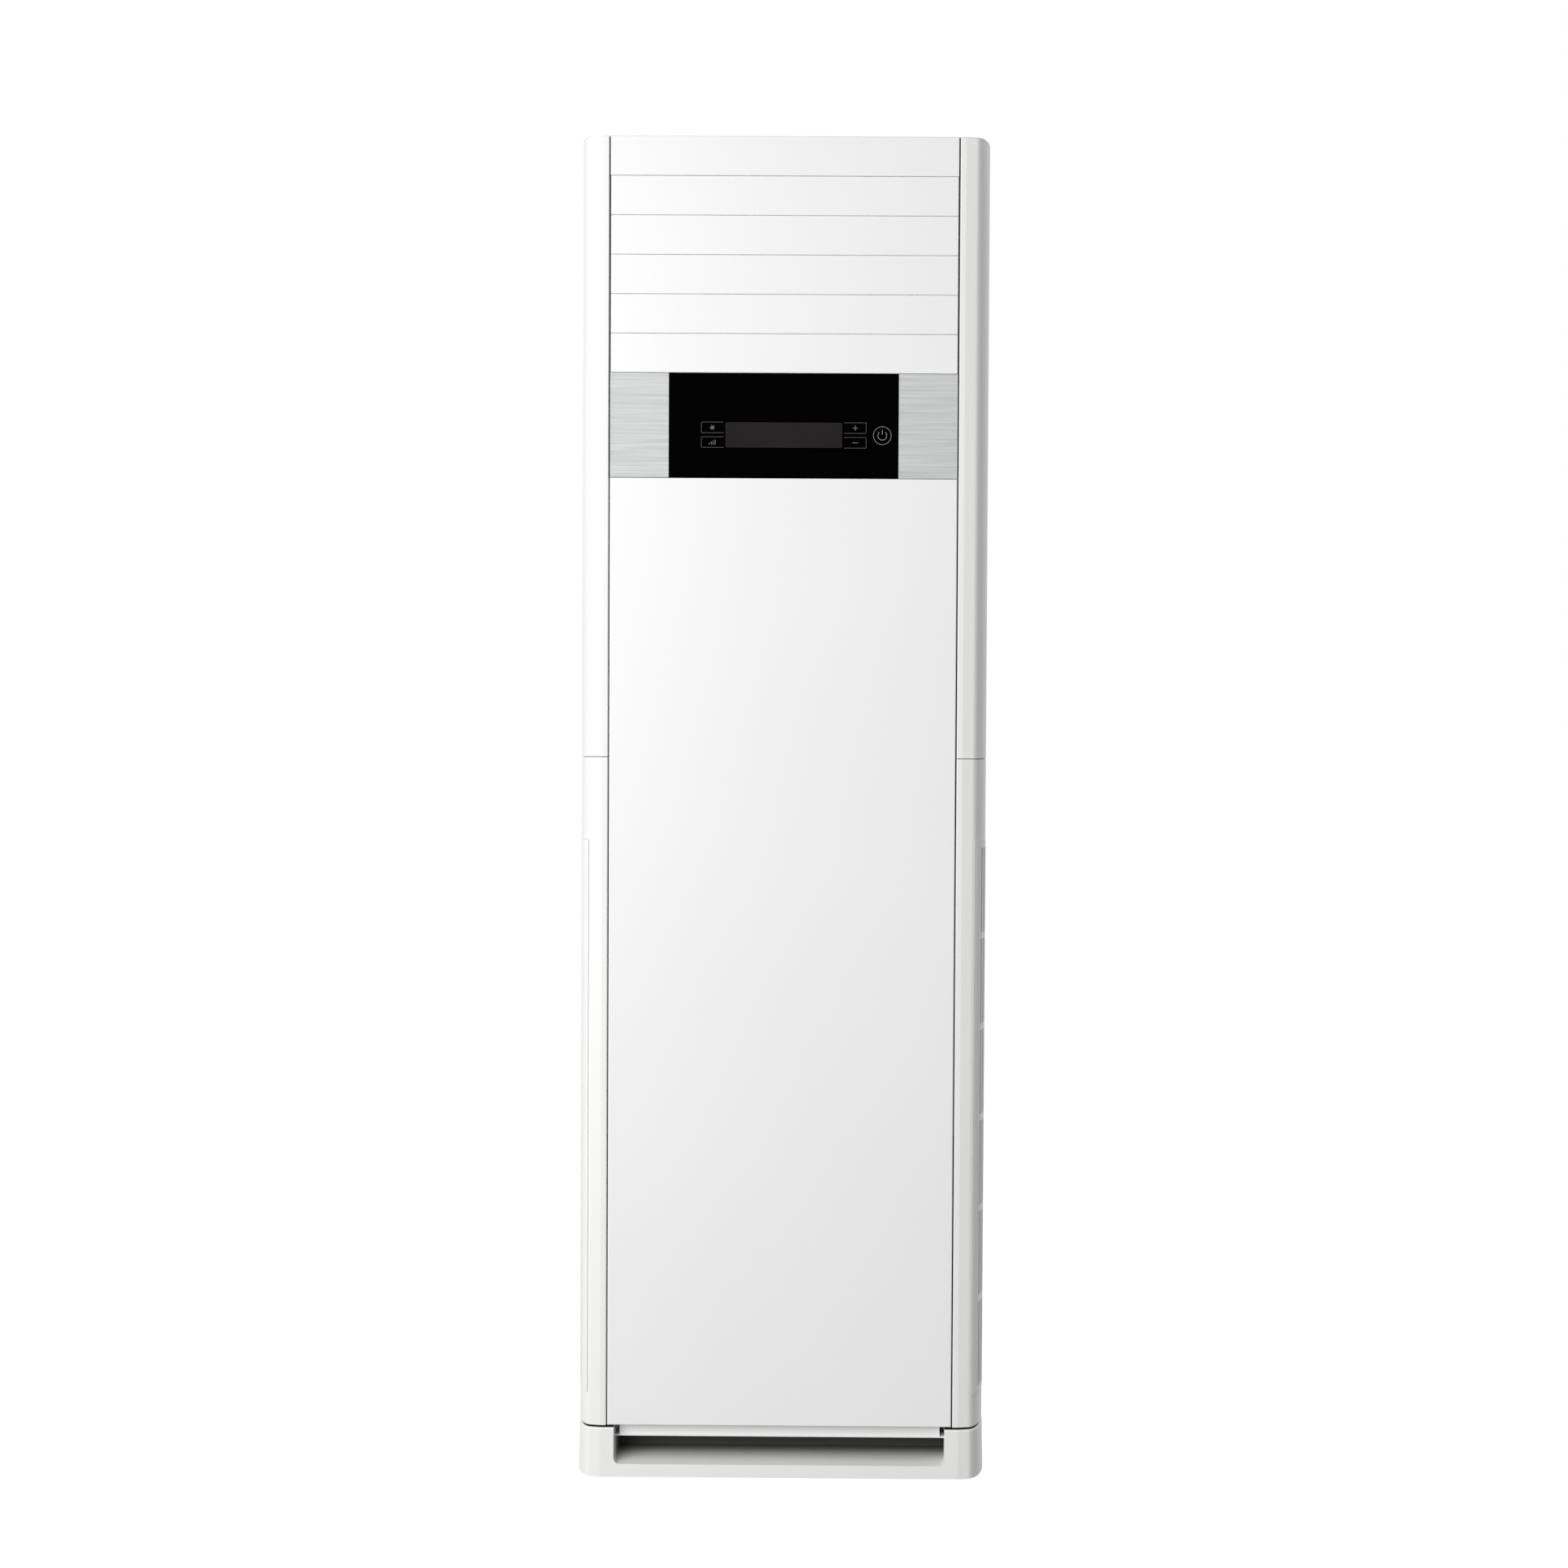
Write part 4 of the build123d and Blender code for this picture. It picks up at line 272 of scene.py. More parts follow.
class ConditionerSizes(bpy.types.PropertyGroup):
    """Sizes of the patterns and the printed signs."""

    brush_spacing: length_field("Brush spacing", "Distance between brushing lines", 2.2 * MM)
    net_pitch: length_field("Net pitch", "Thread spacing of the filter net", 1.6 * MM)
    fin_pitch: length_field("Fin pitch", "Spacing of the coil fins", 1.8 * MM)
    outline_width: length_field(
        "Outline width", "Width of the printed key outlines", 0.35 * MM)
    sign_width: length_field(
        "Sign width", "Width of the lines in the printed signs", 0.5 * MM)
    print_height: length_field(
        "Print height", "How far the print stands on the glass", 0.06 * MM)


def colours():
    """The scene's colour settings."""
    return bpy.context.scene.conditioner_colours


def sizes():
    """The scene's size settings."""
    return bpy.context.scene.conditioner_sizes


# ------------------------------------------------------------------ finishes
def moulded_plastic(name, colour, roughness, grain, depth):
    """ABS or nylon, injection moulded: an even colour with the faint orange peel of its tool."""
    material, tree, shader, place = start(name, **{"IOR": 1.53, "Roughness": roughness})
    cloud = noise(tree, place, 4.0, detail=1.0)
    tint(tree, shader, cloud, shade(colour, 0.985), colour)
    relief(tree, shader, noise(tree, place, 1 / grain), strength=0.25, depth=depth)
    return material


def plastic_with_painted_shade(name, colour, roughness, grain, depth):
    """The same ABS for the plinth, with painted shade darkening it towards the back of the toe
    recess.
    """
    material = moulded_plastic(name, colour, roughness, grain, depth)
    tree = material.node_tree
    shader = next(n for n in tree.nodes if n.type == "BSDF_PRINCIPLED")
    place = next(n for n in tree.nodes if n.type == "TEX_COORD").outputs["Object"]
    unshaded_colour = shader.inputs["Base Color"].links[0].from_socket
    parts = add(tree, "ShaderNodeSeparateXYZ", links={"Vector": place})
    across = maths(tree, "ABSOLUTE", parts.outputs["X"])
    painted_shade = maths(tree, "LESS_THAN", across, RECESS_HALF)
    for coordinate, limit in (("Z", RAIL_FOOT), ("Y", RECESS_BACK)):
        inside = maths(tree, "LESS_THAN", parts.outputs[coordinate], limit)
        painted_shade = maths(tree, "MULTIPLY", painted_shade, inside)
    depth_in = add(tree, "ShaderNodeMapRange", {"interpolation_type": "SMOOTHSTEP"},
                   {"From Min": PAINTED_SHADE_FRONT, "From Max": PAINTED_SHADE_BACK}, {"Value": parts.outputs["Y"]})
    painted_shade = maths(tree, "MULTIPLY", painted_shade, depth_in.outputs["Result"])
    # Painted shade: a dark grey mixed in, strongest towards the back of the toe recess.
    mixed = add(tree, "ShaderNodeMix", {"data_type": "RGBA"}, {"B": rgba(linear("#4a4947"))},
                {"Factor": painted_shade, "A": unshaded_colour})
    tree.links.new(mixed.outputs["Result"], shader.inputs["Base Color"])
    return material


def powder_coat(name, colour):
    """Steel sheet, powder coated and baked: a satin skin with a fine pebbled surface."""
    material, tree, shader, place = start(name, **{"IOR": 1.5, "Roughness": 0.38})
    cloud = noise(tree, place, 3.0, detail=1.0)
    tint(tree, shader, cloud, shade(colour, 0.98), colour)
    pebble = noise(tree, place, 1 / (1.2 * MM), detail=3.0)
    relief(tree, shader, pebble, strength=0.3, depth=0.02 * MM)
    return material


def brushed_plate(name, colour, spacing):
    """Aluminium foil on a moulded plate, brushed and lacquered: fine level streaks, satin."""
    material, tree, shader, place = start(
        name, **{"Metallic": 0.1, "Roughness": 0.5, "Anisotropic": 0.4, "IOR": 1.5})
    stretch = add(tree, "ShaderNodeMapping", None, {"Scale": (9.0, 1.0, 1 / spacing)},
                  {"Vector": place})
    streaks = noise(tree, stretch.outputs["Vector"], 1.0, detail=3.0, Roughness=0.6)
    tint(tree, shader, streaks, shade(colour, 0.84), shade(colour, 1.12))
    relief(tree, shader, streaks, strength=0.15, depth=0.02 * MM)
    return material


def painted_glass(name, colour):
    """Float glass, painted behind and coated against glare: deep and even, hardly a sheen."""
    material, tree, shader, place = start(
        name, **{"IOR": 1.52, "Roughness": 0.06, "Specular IOR Level": 0.005})
    haze = noise(tree, place, 9.0)
    tint(tree, shader, haze, colour, shade(colour, 1.5), low=0.4, high=0.9)
    return material


def flat_print(name, colour):
    """Screen-printed ink, cured under the glass coat: dull, even, a little thin at its edges."""
    material, tree, shader, place = start(
        name, **{"IOR": 1.48, "Roughness": 0.6, "Specular IOR Level": 0.2})
    speck = noise(tree, place, 1 / (0.8 * MM))
    tint(tree, shader, speck, shade(colour, 0.9), colour, low=0.2, high=0.6)
    return material


def galvanised_steel(name):
    """Steel sheet, hot-dip galvanised: pale grey crystals 7 mm across, soft metal gloss."""
    material, tree, shader, place = start(name, **{"Metallic": 1.0})
    spangle = cells(tree, place, 7.0 * MM).outputs["Color"]
    tint(tree, shader, spangle, linear("#a9adb0"), linear("#c4c7c9"), low=0.0, high=1.0)
    polish(tree, shader, spangle, smooth=0.42, rough=0.58)
    return material


def bright_zinc(name):
    """Steel, zinc plated and passivated: bright with faint turning marks."""
    material, tree, shader, place = start(name, **{"Metallic": 1.0})
    marks = noise(tree, place, 1 / (2.0 * MM), detail=4.0)
    tint(tree, shader, marks, linear("#b4b6b8"), linear("#cfd1d2"))
    polish(tree, shader, marks, smooth=0.25, rough=0.42)
    return material


def moulded_rubber(name):
    """EPDM rubber, moulded: near black and dull, with a slight bloom."""
    material, tree, shader, place = start(name, **{"IOR": 1.5, "Roughness": 0.8})
    bloom = noise(tree, place, 60.0, detail=4.0)
    tint(tree, shader, bloom, linear("#1b1b1c"), linear("#2c2c2d"), low=0.35, high=0.75)
    relief(tree, shader, bloom, strength=0.4, depth=0.05 * MM)
    return material


def filter_net(name, pitch):
    """Polypropylene net, woven and welded to its frame: dark threads round square holes."""
    material, tree, shader, place = start(name, **{"IOR": 1.49, "Roughness": 0.6})
    upright, level = (ripple(tree, axis(tree, place, along), pitch) for along in ("Y", "Z"))
    thread = maths(tree, "MAXIMUM", upright, level)
    tint(tree, shader, thread, linear("#16191d"), linear("#4d545c"), low=0.2, high=0.7)
    relief(tree, shader, thread, strength=0.7, depth=0.2 * MM)
    return material


def expanded_foam(name):
    """Polystyrene, steam moulded: off-white beads about 4 mm across pressed flat."""
    material, tree, shader, place = start(name, **{"IOR": 1.4, "Roughness": 0.9})
    edge = cells(tree, place, 4.0 * MM, feature="DISTANCE_TO_EDGE").outputs["Distance"]
    tint(tree, shader, edge, linear("#c9c9c6"), linear("#e6e6e3"), low=0.0, high=0.15)
    relief(tree, shader, edge, strength=0.5, depth=0.3 * MM)
    return material


def sponge_strip(name):
    """Neoprene sponge, expanded and cut to strip: near black, dull and finely porous."""
    # Where this sponge shows in the gaps, its near black is painted shade.
    material, tree, shader, place = start(
        name, **{"IOR": 1.4, "Roughness": 0.95, "Specular IOR Level": 0.2})
    pore = noise(tree, place, 1 / (0.8 * MM), detail=3.0)
    tint(tree, shader, pore, linear("#0e0e0e"), linear("#1c1c1c"), low=0.35, high=0.65)
    relief(tree, shader, pore, strength=0.6, depth=0.1 * MM)
    return material


def fin_pack(name, pitch):
    """Aluminium foil, pressed into fins: bright edges in close upright lines."""
    material, tree, shader, place = start(name, **{"Metallic": 1.0, "Roughness": 0.4})
    fin = ripple(tree, axis(tree, place, "X"), pitch)
    # The dark lines between the bright edges are painted shade between the fins.
    tint(tree, shader, fin, linear("#4b5054"), linear("#d3d6d9"), low=0.1, high=0.8)
    relief(tree, shader, fin, strength=0.8, depth=0.6 * MM)
    return material


def drawn_metal(name, dark, pale):
    """Copper or brass, drawn or machined: warm metal with patches of light tarnish."""
    material, tree, shader, place = start(name, **{"Metallic": 1.0})
    tarnish = noise(tree, place, 35.0, detail=5.0)
    tint(tree, shader, tarnish, dark, pale)
    polish(tree, shader, tarnish, smooth=0.22, rough=0.45)
    return material


def circuit_board(name):
    """Glass-epoxy laminate under solder mask: deep green with paler tracks beneath."""
    material, tree, shader, place = start(name, **{"IOR": 1.55, "Roughness": 0.35})
    track = cells(tree, place, 6.0 * MM, distance="CHEBYCHEV").outputs["Distance"]
    tint(tree, shader, track, linear("#0f3d27"), linear("#1d6541"), low=0.42, high=0.46)
    return material


def ribbed_hose(name):
    """Polyethylene hose, extruded and corrugated: soft grey with rings every 3 mm."""
    material, tree, shader, place = start(name, **{"IOR": 1.51, "Roughness": 0.55})
    run = maths(tree, "SUBTRACT", axis(tree, place, "Y"), axis(tree, place, "Z"))
    ring = ripple(tree, run, 3 * MM)
    tint(tree, shader, ring, linear("#b3b4b4"), linear("#cfd0d0"), low=0.0, high=1.0)
    relief(tree, shader, ring, strength=0.8, depth=0.6 * MM)
    return material


def studio_white(name, colour, glow):
    """Seamless paper, matt: it takes the shadow, and is white to the camera and in gloss."""
    material, tree = blank(name)
    paper = add(tree, "ShaderNodeBsdfDiffuse", values={"Color": rgba(colour)})
    light = add(tree, "ShaderNodeEmission",
                links={"Strength": maths(tree, "MULTIPLY", seen_directly(tree), glow)})
    both = add(tree, "ShaderNodeAddShader", links={0: paper.outputs[0], 1: light.outputs[0]})
    add(tree, "ShaderNodeOutputMaterial", links={"Surface": both.outputs[0]})
    return material


# ------------------------------------------------------------------ shapes
def block(bm, middle, size):
    """A box by its middle and its size. Returns its corners."""
    place = Matrix.Translation(middle) @ Matrix.Diagonal((*size, 1))
    return bmesh.ops.create_cube(bm, size=1, matrix=place)["verts"]


def edges_along(corners, index):
    """The edges at these corners that run along one axis."""
    edges = dict.fromkeys(e for v in corners for e in v.link_edges)
    return [e for e in edges if abs(e.verts[0].co[index] - e.verts[1].co[index]) > SLIGHT]


def soften(bm, edges, offset, segments):
    """Rounds edges."""
    bmesh.ops.bevel(bm, geom=edges, offset=offset, offset_type="OFFSET", affect="EDGES",
                    segments=segments, profile=0.5, material=-1)


def new_object(name, bm, material):
    """Turns a bmesh into an object of the scene with one material."""
    mesh = bpy.data.meshes.new(name)
    bm.to_mesh(mesh)
    bm.free()
    mesh.materials.append(material)
    made = bpy.data.objects.new(name, mesh)
    bpy.context.scene.collection.objects.link(made)
    return made


def finish_piece(name, bm, material):
    """Turns a bmesh into a finished piece that rides on the cabinet."""
    bmesh.ops.recalc_face_normals(bm, faces=bm.faces)
    piece = new_object(name, bm, material)
    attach(piece, "cabinet")
    return piece


def stroke(bm, a, b, width, depth):
    """A thin printed line from a to b, both given as across and up."""
    a, b = Vector(a), Vector(b)
    run = b - a
    middle = (a + b) / 2
    front, back = depth
    place = Matrix.Translation((middle.x, (front + back) / 2, middle.y))
    turn = Matrix.Rotation(-math.atan2(run.y, run.x), 4, "Y")
    size = Matrix.Diagonal((run.length + width, back - front, width, 1))
    bmesh.ops.create_cube(bm, size=1, matrix=place @ turn @ size)


def arc(bm, centre, radius, width, depth, first, last, steps):
    """A printed ring or part of one, turned from a small section."""
    middle = Vector((centre[0], 0, centre[1]))
    begin = Matrix.Rotation(first, 3, "Y")
    front, back = depth
    inner, outer = radius - width / 2, radius + width / 2
    corners = [(inner, front), (outer, front), (outer, back), (inner, back)]
    section = [bm.verts.new(middle + begin @ Vector((across, deep, 0))) for across, deep in corners]
    whole = math.isclose(abs(last - first), math.tau)
    edges = [bm.edges.new((section[i - 1], section[i])) for i in range(len(section))]
    bmesh.ops.spin(bm, geom=[*edges, *section], cent=middle, axis=(0, 1, 0), dvec=(0, 0, 0),
                   angle=last - first, steps=steps, use_merge=whole, use_duplicate=False)
    if not whole:
        ends = [e for e in bm.edges if e.is_boundary]
        bmesh.ops.holes_fill(bm, edges=ends, sides=len(section))


def key_outlines(middle, line, depth):
    """Boxes round the four keys, each open on the side towards the display cell."""
    bm = bmesh.new()
    for side in (-1, 1):
        inner = side * (KEY_ACROSS - KEY_WIDE / 2)
        outer = side * (KEY_ACROSS + KEY_WIDE / 2)
        for up in (-1, 1):
            z = middle + up * KEY_SPLIT / 2
            top, foot = z + KEY_HIGH / 2, z - KEY_HIGH / 2
            stroke(bm, (inner, top), (outer, top), line, depth)
            stroke(bm, (outer, top), (outer, foot), line, depth)
            stroke(bm, (outer, foot), (inner, foot), line, depth)
    return bm


def key_signs(middle, line, depth):
    """Plus and minus on the right keys, a star and a rising row of bars on the left ones."""
    bm = bmesh.new()
    upper, lower = middle + KEY_SPLIT / 2, middle - KEY_SPLIT / 2
    for z in (upper, lower):
        stroke(bm, (KEY_ACROSS - SIGN_ARM, z), (KEY_ACROSS + SIGN_ARM, z), line, depth)
    stroke(bm, (KEY_ACROSS, upper - SIGN_ARM), (KEY_ACROSS, upper + SIGN_ARM), line, depth)
    star = Vector((-KEY_ACROSS, upper))
    for turn in STAR_TURNS:
        reach = Vector((math.cos(math.radians(turn)), math.sin(math.radians(turn)))) * SIGN_ARM
        stroke(bm, star - reach, star + reach, line, depth)
    foot = lower - SIGN_ARM
    for step, rise in enumerate(BAR_RISES):
        x = -KEY_ACROSS + (step - (len(BAR_RISES) - 1) / 2) * BAR_PITCH
        stroke(bm, (x, foot), (x, foot + rise), line, depth)
    return bm


def power_sign(middle, line, depth):
    """A ring with the common power sign in it."""
    bm = bmesh.new()
    bold = line * POWER_LINE
    centre = (POWER_ACROSS, middle)
    arc(bm, centre, POWER_RADIUS, line, depth, 0, math.tau, steps=64)
    arc(bm, centre, POWER_RADIUS * POWER_INNER, bold, depth, *POWER_ARC, steps=32)
    foot, top = (middle + POWER_RADIUS * share for share in POWER_BAR)
    stroke(bm, (POWER_ACROSS, foot), (POWER_ACROSS, top), bold, depth)
    return bm


def display_window(middle, depth):
    """The unlit display cell as it shows through the glass."""
    bm = bmesh.new()
    front, back = depth
    corners = block(bm, (0, (front + back) / 2, middle), (CELL_WIDE, back - front, CELL_HIGH))
    soften(bm, edges_along(corners, DEEP), CELL_CORNER, segments=4)
    return bm


def panel_shade_seal(foot):
    """Two upright sponge strips against the back of the front panel's edges."""
    # The strips fill the gaps behind the panel's edges, where their near black is painted shade.
    bm = bmesh.new()
    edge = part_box("front_panel")[1]
    across = edge.x + PANEL_GAP - STRIP_WIDE / 2
    behind = edge.y + STRIP_THICK / 2
    for side in (-1, 1):
        corners = block(bm, (side * across, behind, (foot + edge.z) / 2),
                        (STRIP_WIDE, STRIP_THICK, edge.z - foot))
        soften(bm, edges_along(corners, UP), STRIP_ROUND, segments=3)
    return bm


def on_neck(face, ledge):
    """Whether a face of the plinth is on the outside of the neck under the casing."""
    middle = face.calc_center_median()
    outside = abs(middle.x) > RECESS_HALF or middle.y > 0
    upright = abs(face.normal.z) < 1 - MOSTLY
    rearward = face.normal.y >= 0.5
    above = min(v.co.z for v in face.verts) > ledge - MM / 10
    return above and upright and outside and not rearward


def plinth_shade_seal(foot):
    """A sponge ring on the plinth's neck, thickened from the neck's own faces."""
    # The ring's near black paints the shade line between the posts and the plinth.
    bm = bmesh.new()
    bm.from_mesh(NODES["base_plinth"].data)
    bmesh.ops.remove_doubles(bm, verts=bm.verts, dist=SLIGHT)
    spare = [f for f in bm.faces if not on_neck(f, foot - NECK_HEIGHT)]
    bmesh.ops.delete(bm, geom=spare, context="FACES")
    bmesh.ops.solidify(bm, geom=bm.faces[:], thickness=-NECK_SEAL)
    return bm


def rear_beads():
    """Round-ended stiffening beads, in pairs up the back sheet."""
    bm = bmesh.new()
    low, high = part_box("rear_panel")
    pitch = (high.z - low.z) / (BEAD_ROWS + BEAD_FOOT)
    across = (BEAD_END + BEAD_GAP) / 2
    behind = high.y + (BEAD_PROUD - BEAD_SUNK) / 2
    size = (BEAD_END - BEAD_GAP, BEAD_PROUD + BEAD_SUNK, BEAD_WIDE)
    for step in range(BEAD_ROWS):
        for side in (-1, 1):
            corners = block(bm, (side * across, behind, low.z + (step + BEAD_FOOT) * pitch), size)
            soften(bm, edges_along(corners, DEEP), BEAD_ROUND, segments=8)
    bmesh.ops.recalc_face_normals(bm, faces=bm.faces)
    crown = dict.fromkeys(e for f in bm.faces if f.normal.y > MOSTLY for e in f.edges)
    soften(bm, list(crown), BEAD_CROWN, segments=4)
    return bm


def soft_box(name, place, wide, high, power):
    """A plain soft lamp with a rectangular face, aimed at the middle of the object."""
    data = bpy.data.lights.new(name, "AREA")
    data.shape = "RECTANGLE"
    data.size = wide
    data.size_y = high
    data.energy = power
    lamp = bpy.data.objects.new(name, data)
    bpy.context.scene.collection.objects.link(lamp)
    lamp.location = place
    lamp.rotation_euler = (Vector(AIM) - Vector(place)).to_track_quat("-Z", "Y").to_euler()


def studio_world(name):
    """A plain pale world that lights softly and is white to the camera and in gloss."""
    world = bpy.data.worlds.new(name)
    bpy.context.scene.world = world
    world.use_nodes = True
    tree = world.node_tree
    tree.nodes.clear()
    level = add(tree, "ShaderNodeMapRange", None, {"To Min": WORLD_LIGHT, "To Max": WORLD_SEEN},
                {"Value": seen_directly(tree)})
    sky = add(tree, "ShaderNodeBackground", None, {"Color": rgba(linear("#ffffff"))},
              {"Strength": level.outputs["Result"]})
    add(tree, "ShaderNodeOutputWorld", links={"Surface": sky.outputs[0]})


def photo_camera(name):
    """The camera at the photograph's place and angle."""
    data = bpy.data.cameras.new(name)
    data.sensor_width = CAMERA_SENSOR
    data.lens = CAMERA_LENS
    data.shift_x, data.shift_y = CAMERA_SHIFT
    data.clip_start, data.clip_end = CAMERA_CLIP
    camera = bpy.data.objects.new(name, data)
    bpy.context.scene.collection.objects.link(camera)
    camera.location = CAMERA_PLACE
    turn = Matrix.Rotation(math.radians(CAMERA_TURN), 3, "Z")
    tilt = Matrix.Rotation(math.radians(90 - CAMERA_DIP), 3, "X")
    roll = Matrix.Rotation(math.radians(CAMERA_ROLL), 3, "Z")
    camera.rotation_euler = (turn @ tilt @ roll).to_euler()
    bpy.context.scene.camera = camera


# ------------------------------------------------------------------ operators
class CONDITIONER_OT_casing(bpy.types.Operator):
    """Dresses the posts, grilles, side sheets, top cover and plinth"""

    bl_idname = "conditioner.casing"
    bl_label = "Casing"

    def execute(self, context):
        satin = {"colour": tuple(colours().satin_white), "roughness": 0.42,
                 "grain": 0.7 * MM, "depth": 0.02 * MM}
        dress(moulded_plastic("satin_white_abs", **satin),
              "left_upper_post", "right_upper_post", "left_lower_post", "right_lower_post",
              "left_intake_grille", "right_intake_grille")
        dress(plastic_with_painted_shade("satin_white_plinth_abs", **satin), "base_plinth")
        paint = powder_coat("powder_coated_steel", tuple(colours().paint_white))
        dress(paint, "left_side_panel", "right_side_panel")
        dress(powder_coat("powder_coated_cover", tuple(colours().cover_white)), "top_cover")
        return {"FINISHED"}


class CONDITIONER_OT_front(bpy.types.Operator):
    """Dresses the front panel, the fixed top strip, the louvre blades and the black frames"""

    bl_idname = "conditioner.front"
    bl_label = "Front panel and louvre"

    def execute(self, context):
        gloss = moulded_plastic("gloss_white_abs", tuple(colours().gloss_white),
                                roughness=0.3, grain=2.5 * MM, depth=0.01 * MM)
        blades = [name for name in NODES if name.startswith("louvre_blade")]
        dress(gloss, "front_panel", "outlet_fascia", *blades)
        black = moulded_plastic("black_abs", linear("#141415"),
                                roughness=0.5, grain=0.5 * MM, depth=0.03 * MM)
        vanes = [name for name in NODES if name.startswith("vane_") and name != "vane_motor"]
        dress(black, "outlet_frame", "display_frame", *vanes)
        return {"FINISHED"}


class CONDITIONER_OT_display(bpy.types.Operator):
    """Dresses the display band and prints the key outlines and signs on the glass"""

    bl_idname = "conditioner.display"
    bl_label = "Display band"

    def execute(self, context):
        glass = painted_glass("black_glass", tuple(colours().glass_black))
        dress(glass, "display_glass")
        foil = brushed_plate("brushed_foil", tuple(colours().brushed_grey),
                             sizes().brush_spacing)
        dress(foil, "trim_plates")
        dress(circuit_board("circuit_laminate"), "display_board", "control_board")
        low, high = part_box("display_glass")
        middle = (low.z + high.z) / 2 - CELL_DROP
        depth = (low.y - sizes().print_height, low.y + sizes().print_height / 2)
        thin, line = sizes().outline_width, sizes().sign_width
        faint = flat_print("outline_ink", tuple(colours().outline_grey))
        ink = flat_print("sign_ink", tuple(colours().sign_grey))
        cell = painted_glass("display_cell", tuple(colours().cell_grey))
        for name, shape, material in (
            ("key_outlines", key_outlines(middle, thin, depth), faint),
            ("key_signs", key_signs(middle, line, depth), ink),
            ("power_sign", power_sign(middle, line, depth), ink),
            ("display_window", display_window(middle, depth), cell),
        ):
            finish_piece(name, shape, material)
        return {"FINISHED"}


class CONDITIONER_OT_inside(bpy.types.Operator):
    """Dresses the coil, pipes, blower, duct, filters and drives"""

    bl_idname = "conditioner.inside"
    bl_label = "Inside pieces"

    def execute(self, context):
        nylon = moulded_plastic("grey_nylon", linear("#8f9295"),
                                roughness=0.5, grain=0.6 * MM, depth=0.03 * MM)
        dress(nylon, "louvre_link", "louvre_crank", "filter_rails", "drain_pan", "fan_impeller")
        dress(filter_net("polypropylene_net", sizes().net_pitch), "left_filter", "right_filter")
        dress(expanded_foam("moulded_polystyrene"), "outlet_duct", "inner_panel")
        dress(fin_pack("fin_foil", sizes().fin_pitch), "evaporator_fins")
        copper = drawn_metal("drawn_copper", linear("#8a4a2e"), linear("#c9805a"))
        dress(copper, "evaporator_tubes", "gas_pipe", "liquid_pipe")
        brass = drawn_metal("machined_brass", linear("#8f7536"), linear("#c6a861"))
        dress(brass, "flare_unions")
        dress(ribbed_hose("corrugated_hose"), "drain_hose")
        dress(bright_zinc("zinc_plated_steel"),
              "fan_shaft", "fan_motor", "louvre_motor", "vane_motor", "casing_screws")
        return {"FINISHED"}


class CONDITIONER_OT_seals(bpy.types.Operator):
    """Makes the sponge strips behind the front panel and between plinth and casing"""

    bl_idname = "conditioner.seals"
    bl_label = "Sponge strips"

    def execute(self, context):
        sponge = sponge_strip("closed_cell_sponge")
        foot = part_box("left_lower_post")[0].z
        finish_piece("panel_shade_seal", panel_shade_seal(foot), sponge)
        finish_piece("plinth_shade_seal", plinth_shade_seal(foot), sponge)
        return {"FINISHED"}


class CONDITIONER_OT_rear(bpy.types.Operator):
    """Dresses the sheets and the rear fittings, and presses the back sheet's beads"""

    bl_idname = "conditioner.rear"
    bl_label = "Rear sheet and fittings"

    def execute(self, context):
        sheet = galvanised_steel("galvanised_steel")
        dress(sheet, "rear_panel", "deck_plate", "blower_housing", "blower_inlet_plate",
              "motor_bracket", "electrical_box", "electrical_box_cover", "wall_bracket")
        finish_piece("rear_beads", rear_beads(), sheet)
        dress(moulded_rubber("moulded_epdm"), "base_pads", "pipe_grommet")
        nylon = moulded_plastic("black_nylon", linear("#17171a"),
                                roughness=0.45, grain=0.5 * MM, depth=0.03 * MM)
        dress(nylon, "cable_gland")
        return {"FINISHED"}


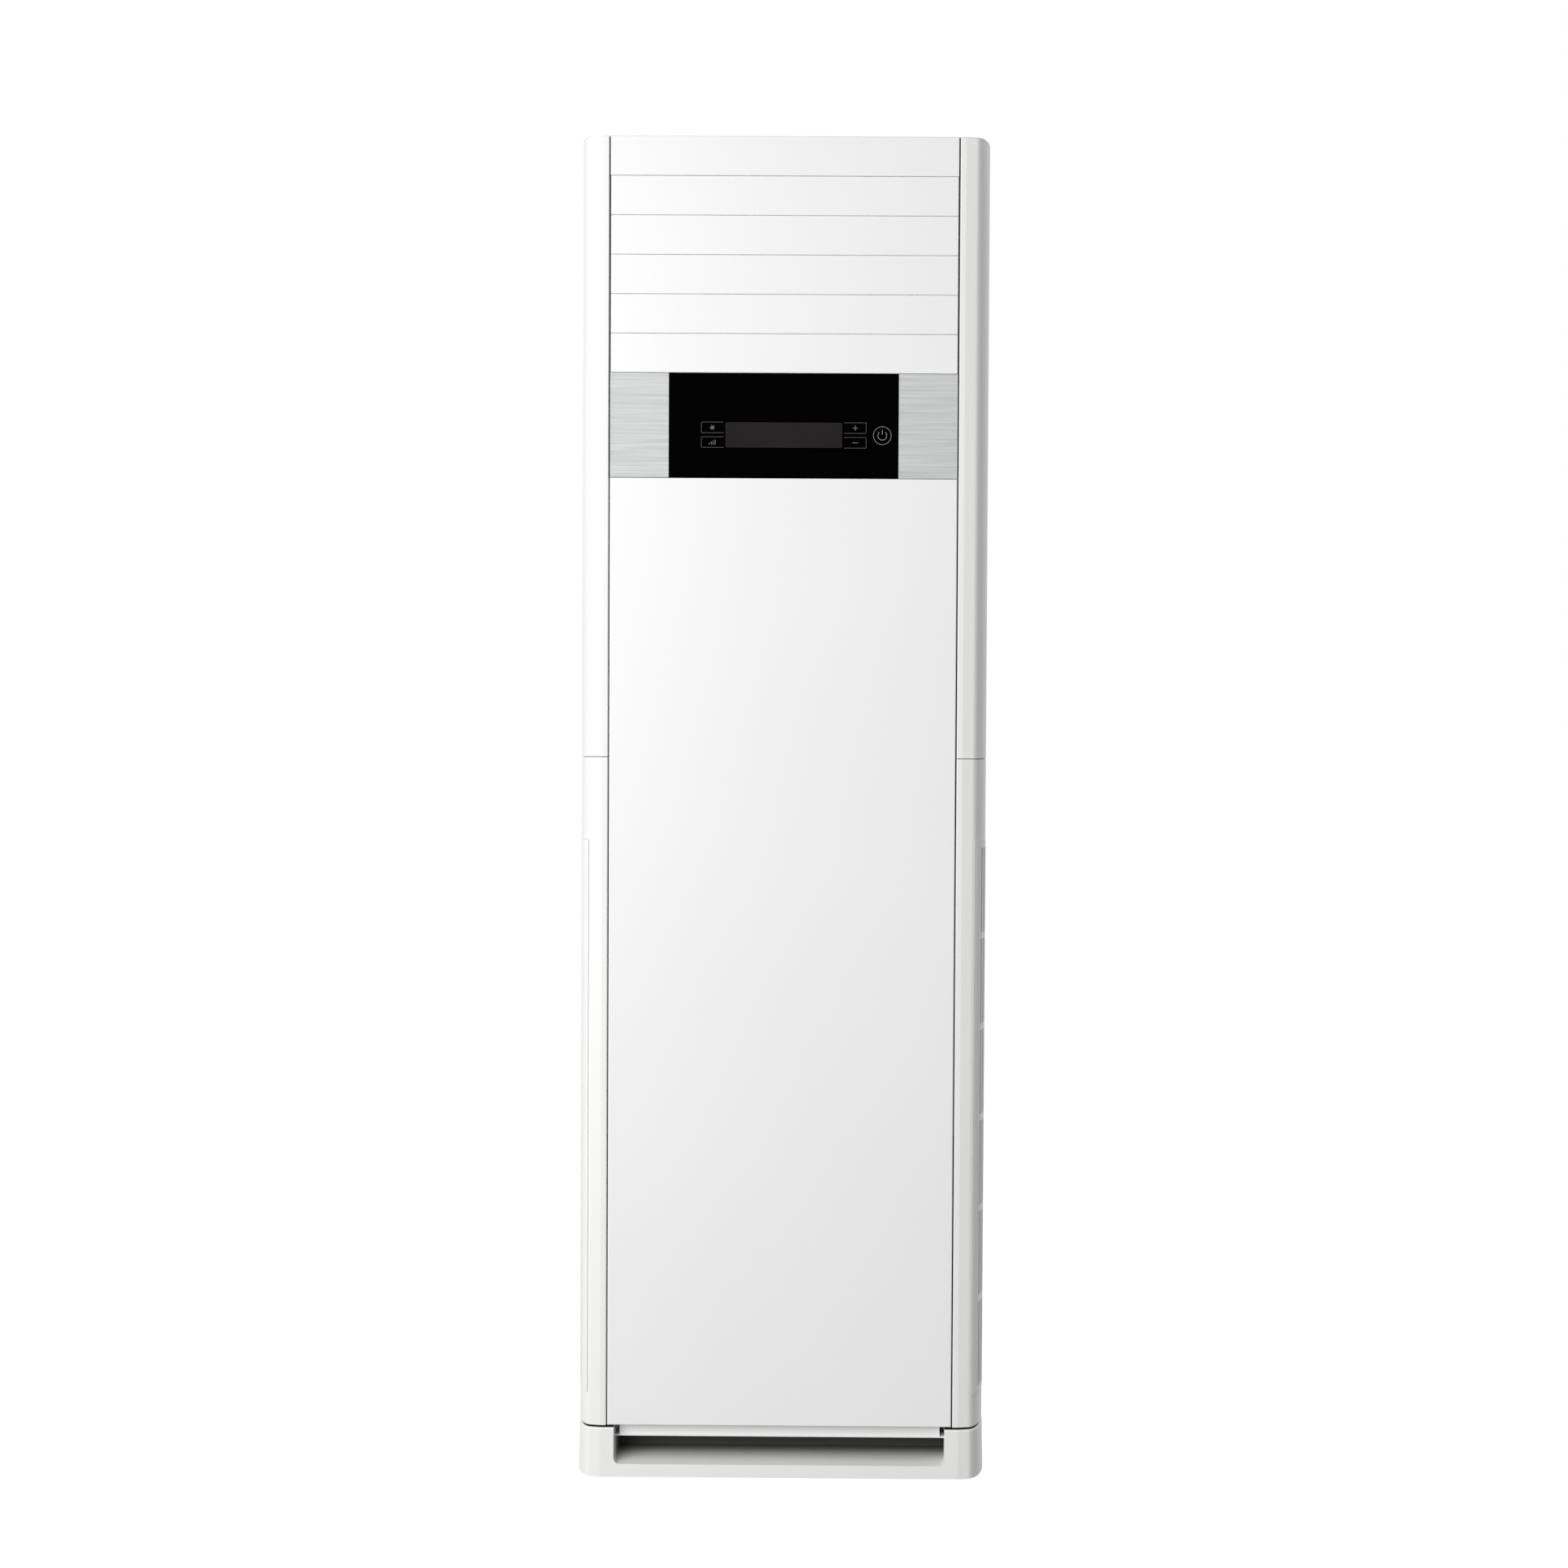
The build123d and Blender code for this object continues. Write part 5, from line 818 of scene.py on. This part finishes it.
class CONDITIONER_OT_stage(bpy.types.Operator):
    """Makes the floor, the world, the lamps and the camera"""

    bl_idname = "conditioner.stage"
    bl_label = "Stage, lamps and camera"

    def execute(self, context):
        bm = bmesh.new()
        bmesh.ops.create_grid(bm, x_segments=1, y_segments=1, size=FLOOR_HALF)
        paper = studio_white("studio_paper", linear("#7c7c7c"), FLOOR_GLOW)
        floor = new_object("studio_floor", bm, paper)
        studio_world("studio")
        for lamp in LAMPS:
            soft_box(*lamp)
        photo_camera("camera")
        context.scene.view_settings.view_transform = "Standard"
        return {"FINISHED"}


class CONDITIONER_PT_sidebar(bpy.types.Panel):
    """Lists the steps in the 3D view's sidebar"""

    bl_idname = "CONDITIONER_PT_sidebar"
    bl_label = "Cabinet air conditioner"
    bl_space_type = "VIEW_3D"
    bl_region_type = "UI"
    bl_category = "Conditioner"

    def draw(self, context):
        for step in STEPS:
            self.layout.operator(step.bl_idname)
        for group in (context.scene.conditioner_colours, context.scene.conditioner_sizes):
            for name in group.__annotations__:
                self.layout.prop(group, name)


STEPS = (
    CONDITIONER_OT_casing,
    CONDITIONER_OT_front,
    CONDITIONER_OT_display,
    CONDITIONER_OT_inside,
    CONDITIONER_OT_seals,
    CONDITIONER_OT_rear,
    CONDITIONER_OT_stage,
)
CLASSES = (ConditionerColours, ConditionerSizes, *STEPS, CONDITIONER_PT_sidebar)


def register():
    """Registers the classes and the scene's settings."""
    for item in CLASSES:
        bpy.utils.register_class(item)
    bpy.types.Scene.conditioner_colours = PointerProperty(type=ConditionerColours)
    bpy.types.Scene.conditioner_sizes = PointerProperty(type=ConditionerSizes)


def unregister():
    """Takes the settings and classes away again."""
    del bpy.types.Scene.conditioner_sizes
    del bpy.types.Scene.conditioner_colours
    for item in reversed(CLASSES):
        bpy.utils.unregister_class(item)


def main():
    """Runs every step in order."""
    register()
    bpy.ops.conditioner.casing()
    bpy.ops.conditioner.front()
    bpy.ops.conditioner.display()
    bpy.ops.conditioner.inside()
    bpy.ops.conditioner.seals()
    bpy.ops.conditioner.rear()
    bpy.ops.conditioner.stage()


if __name__ == "__main__":
    main()
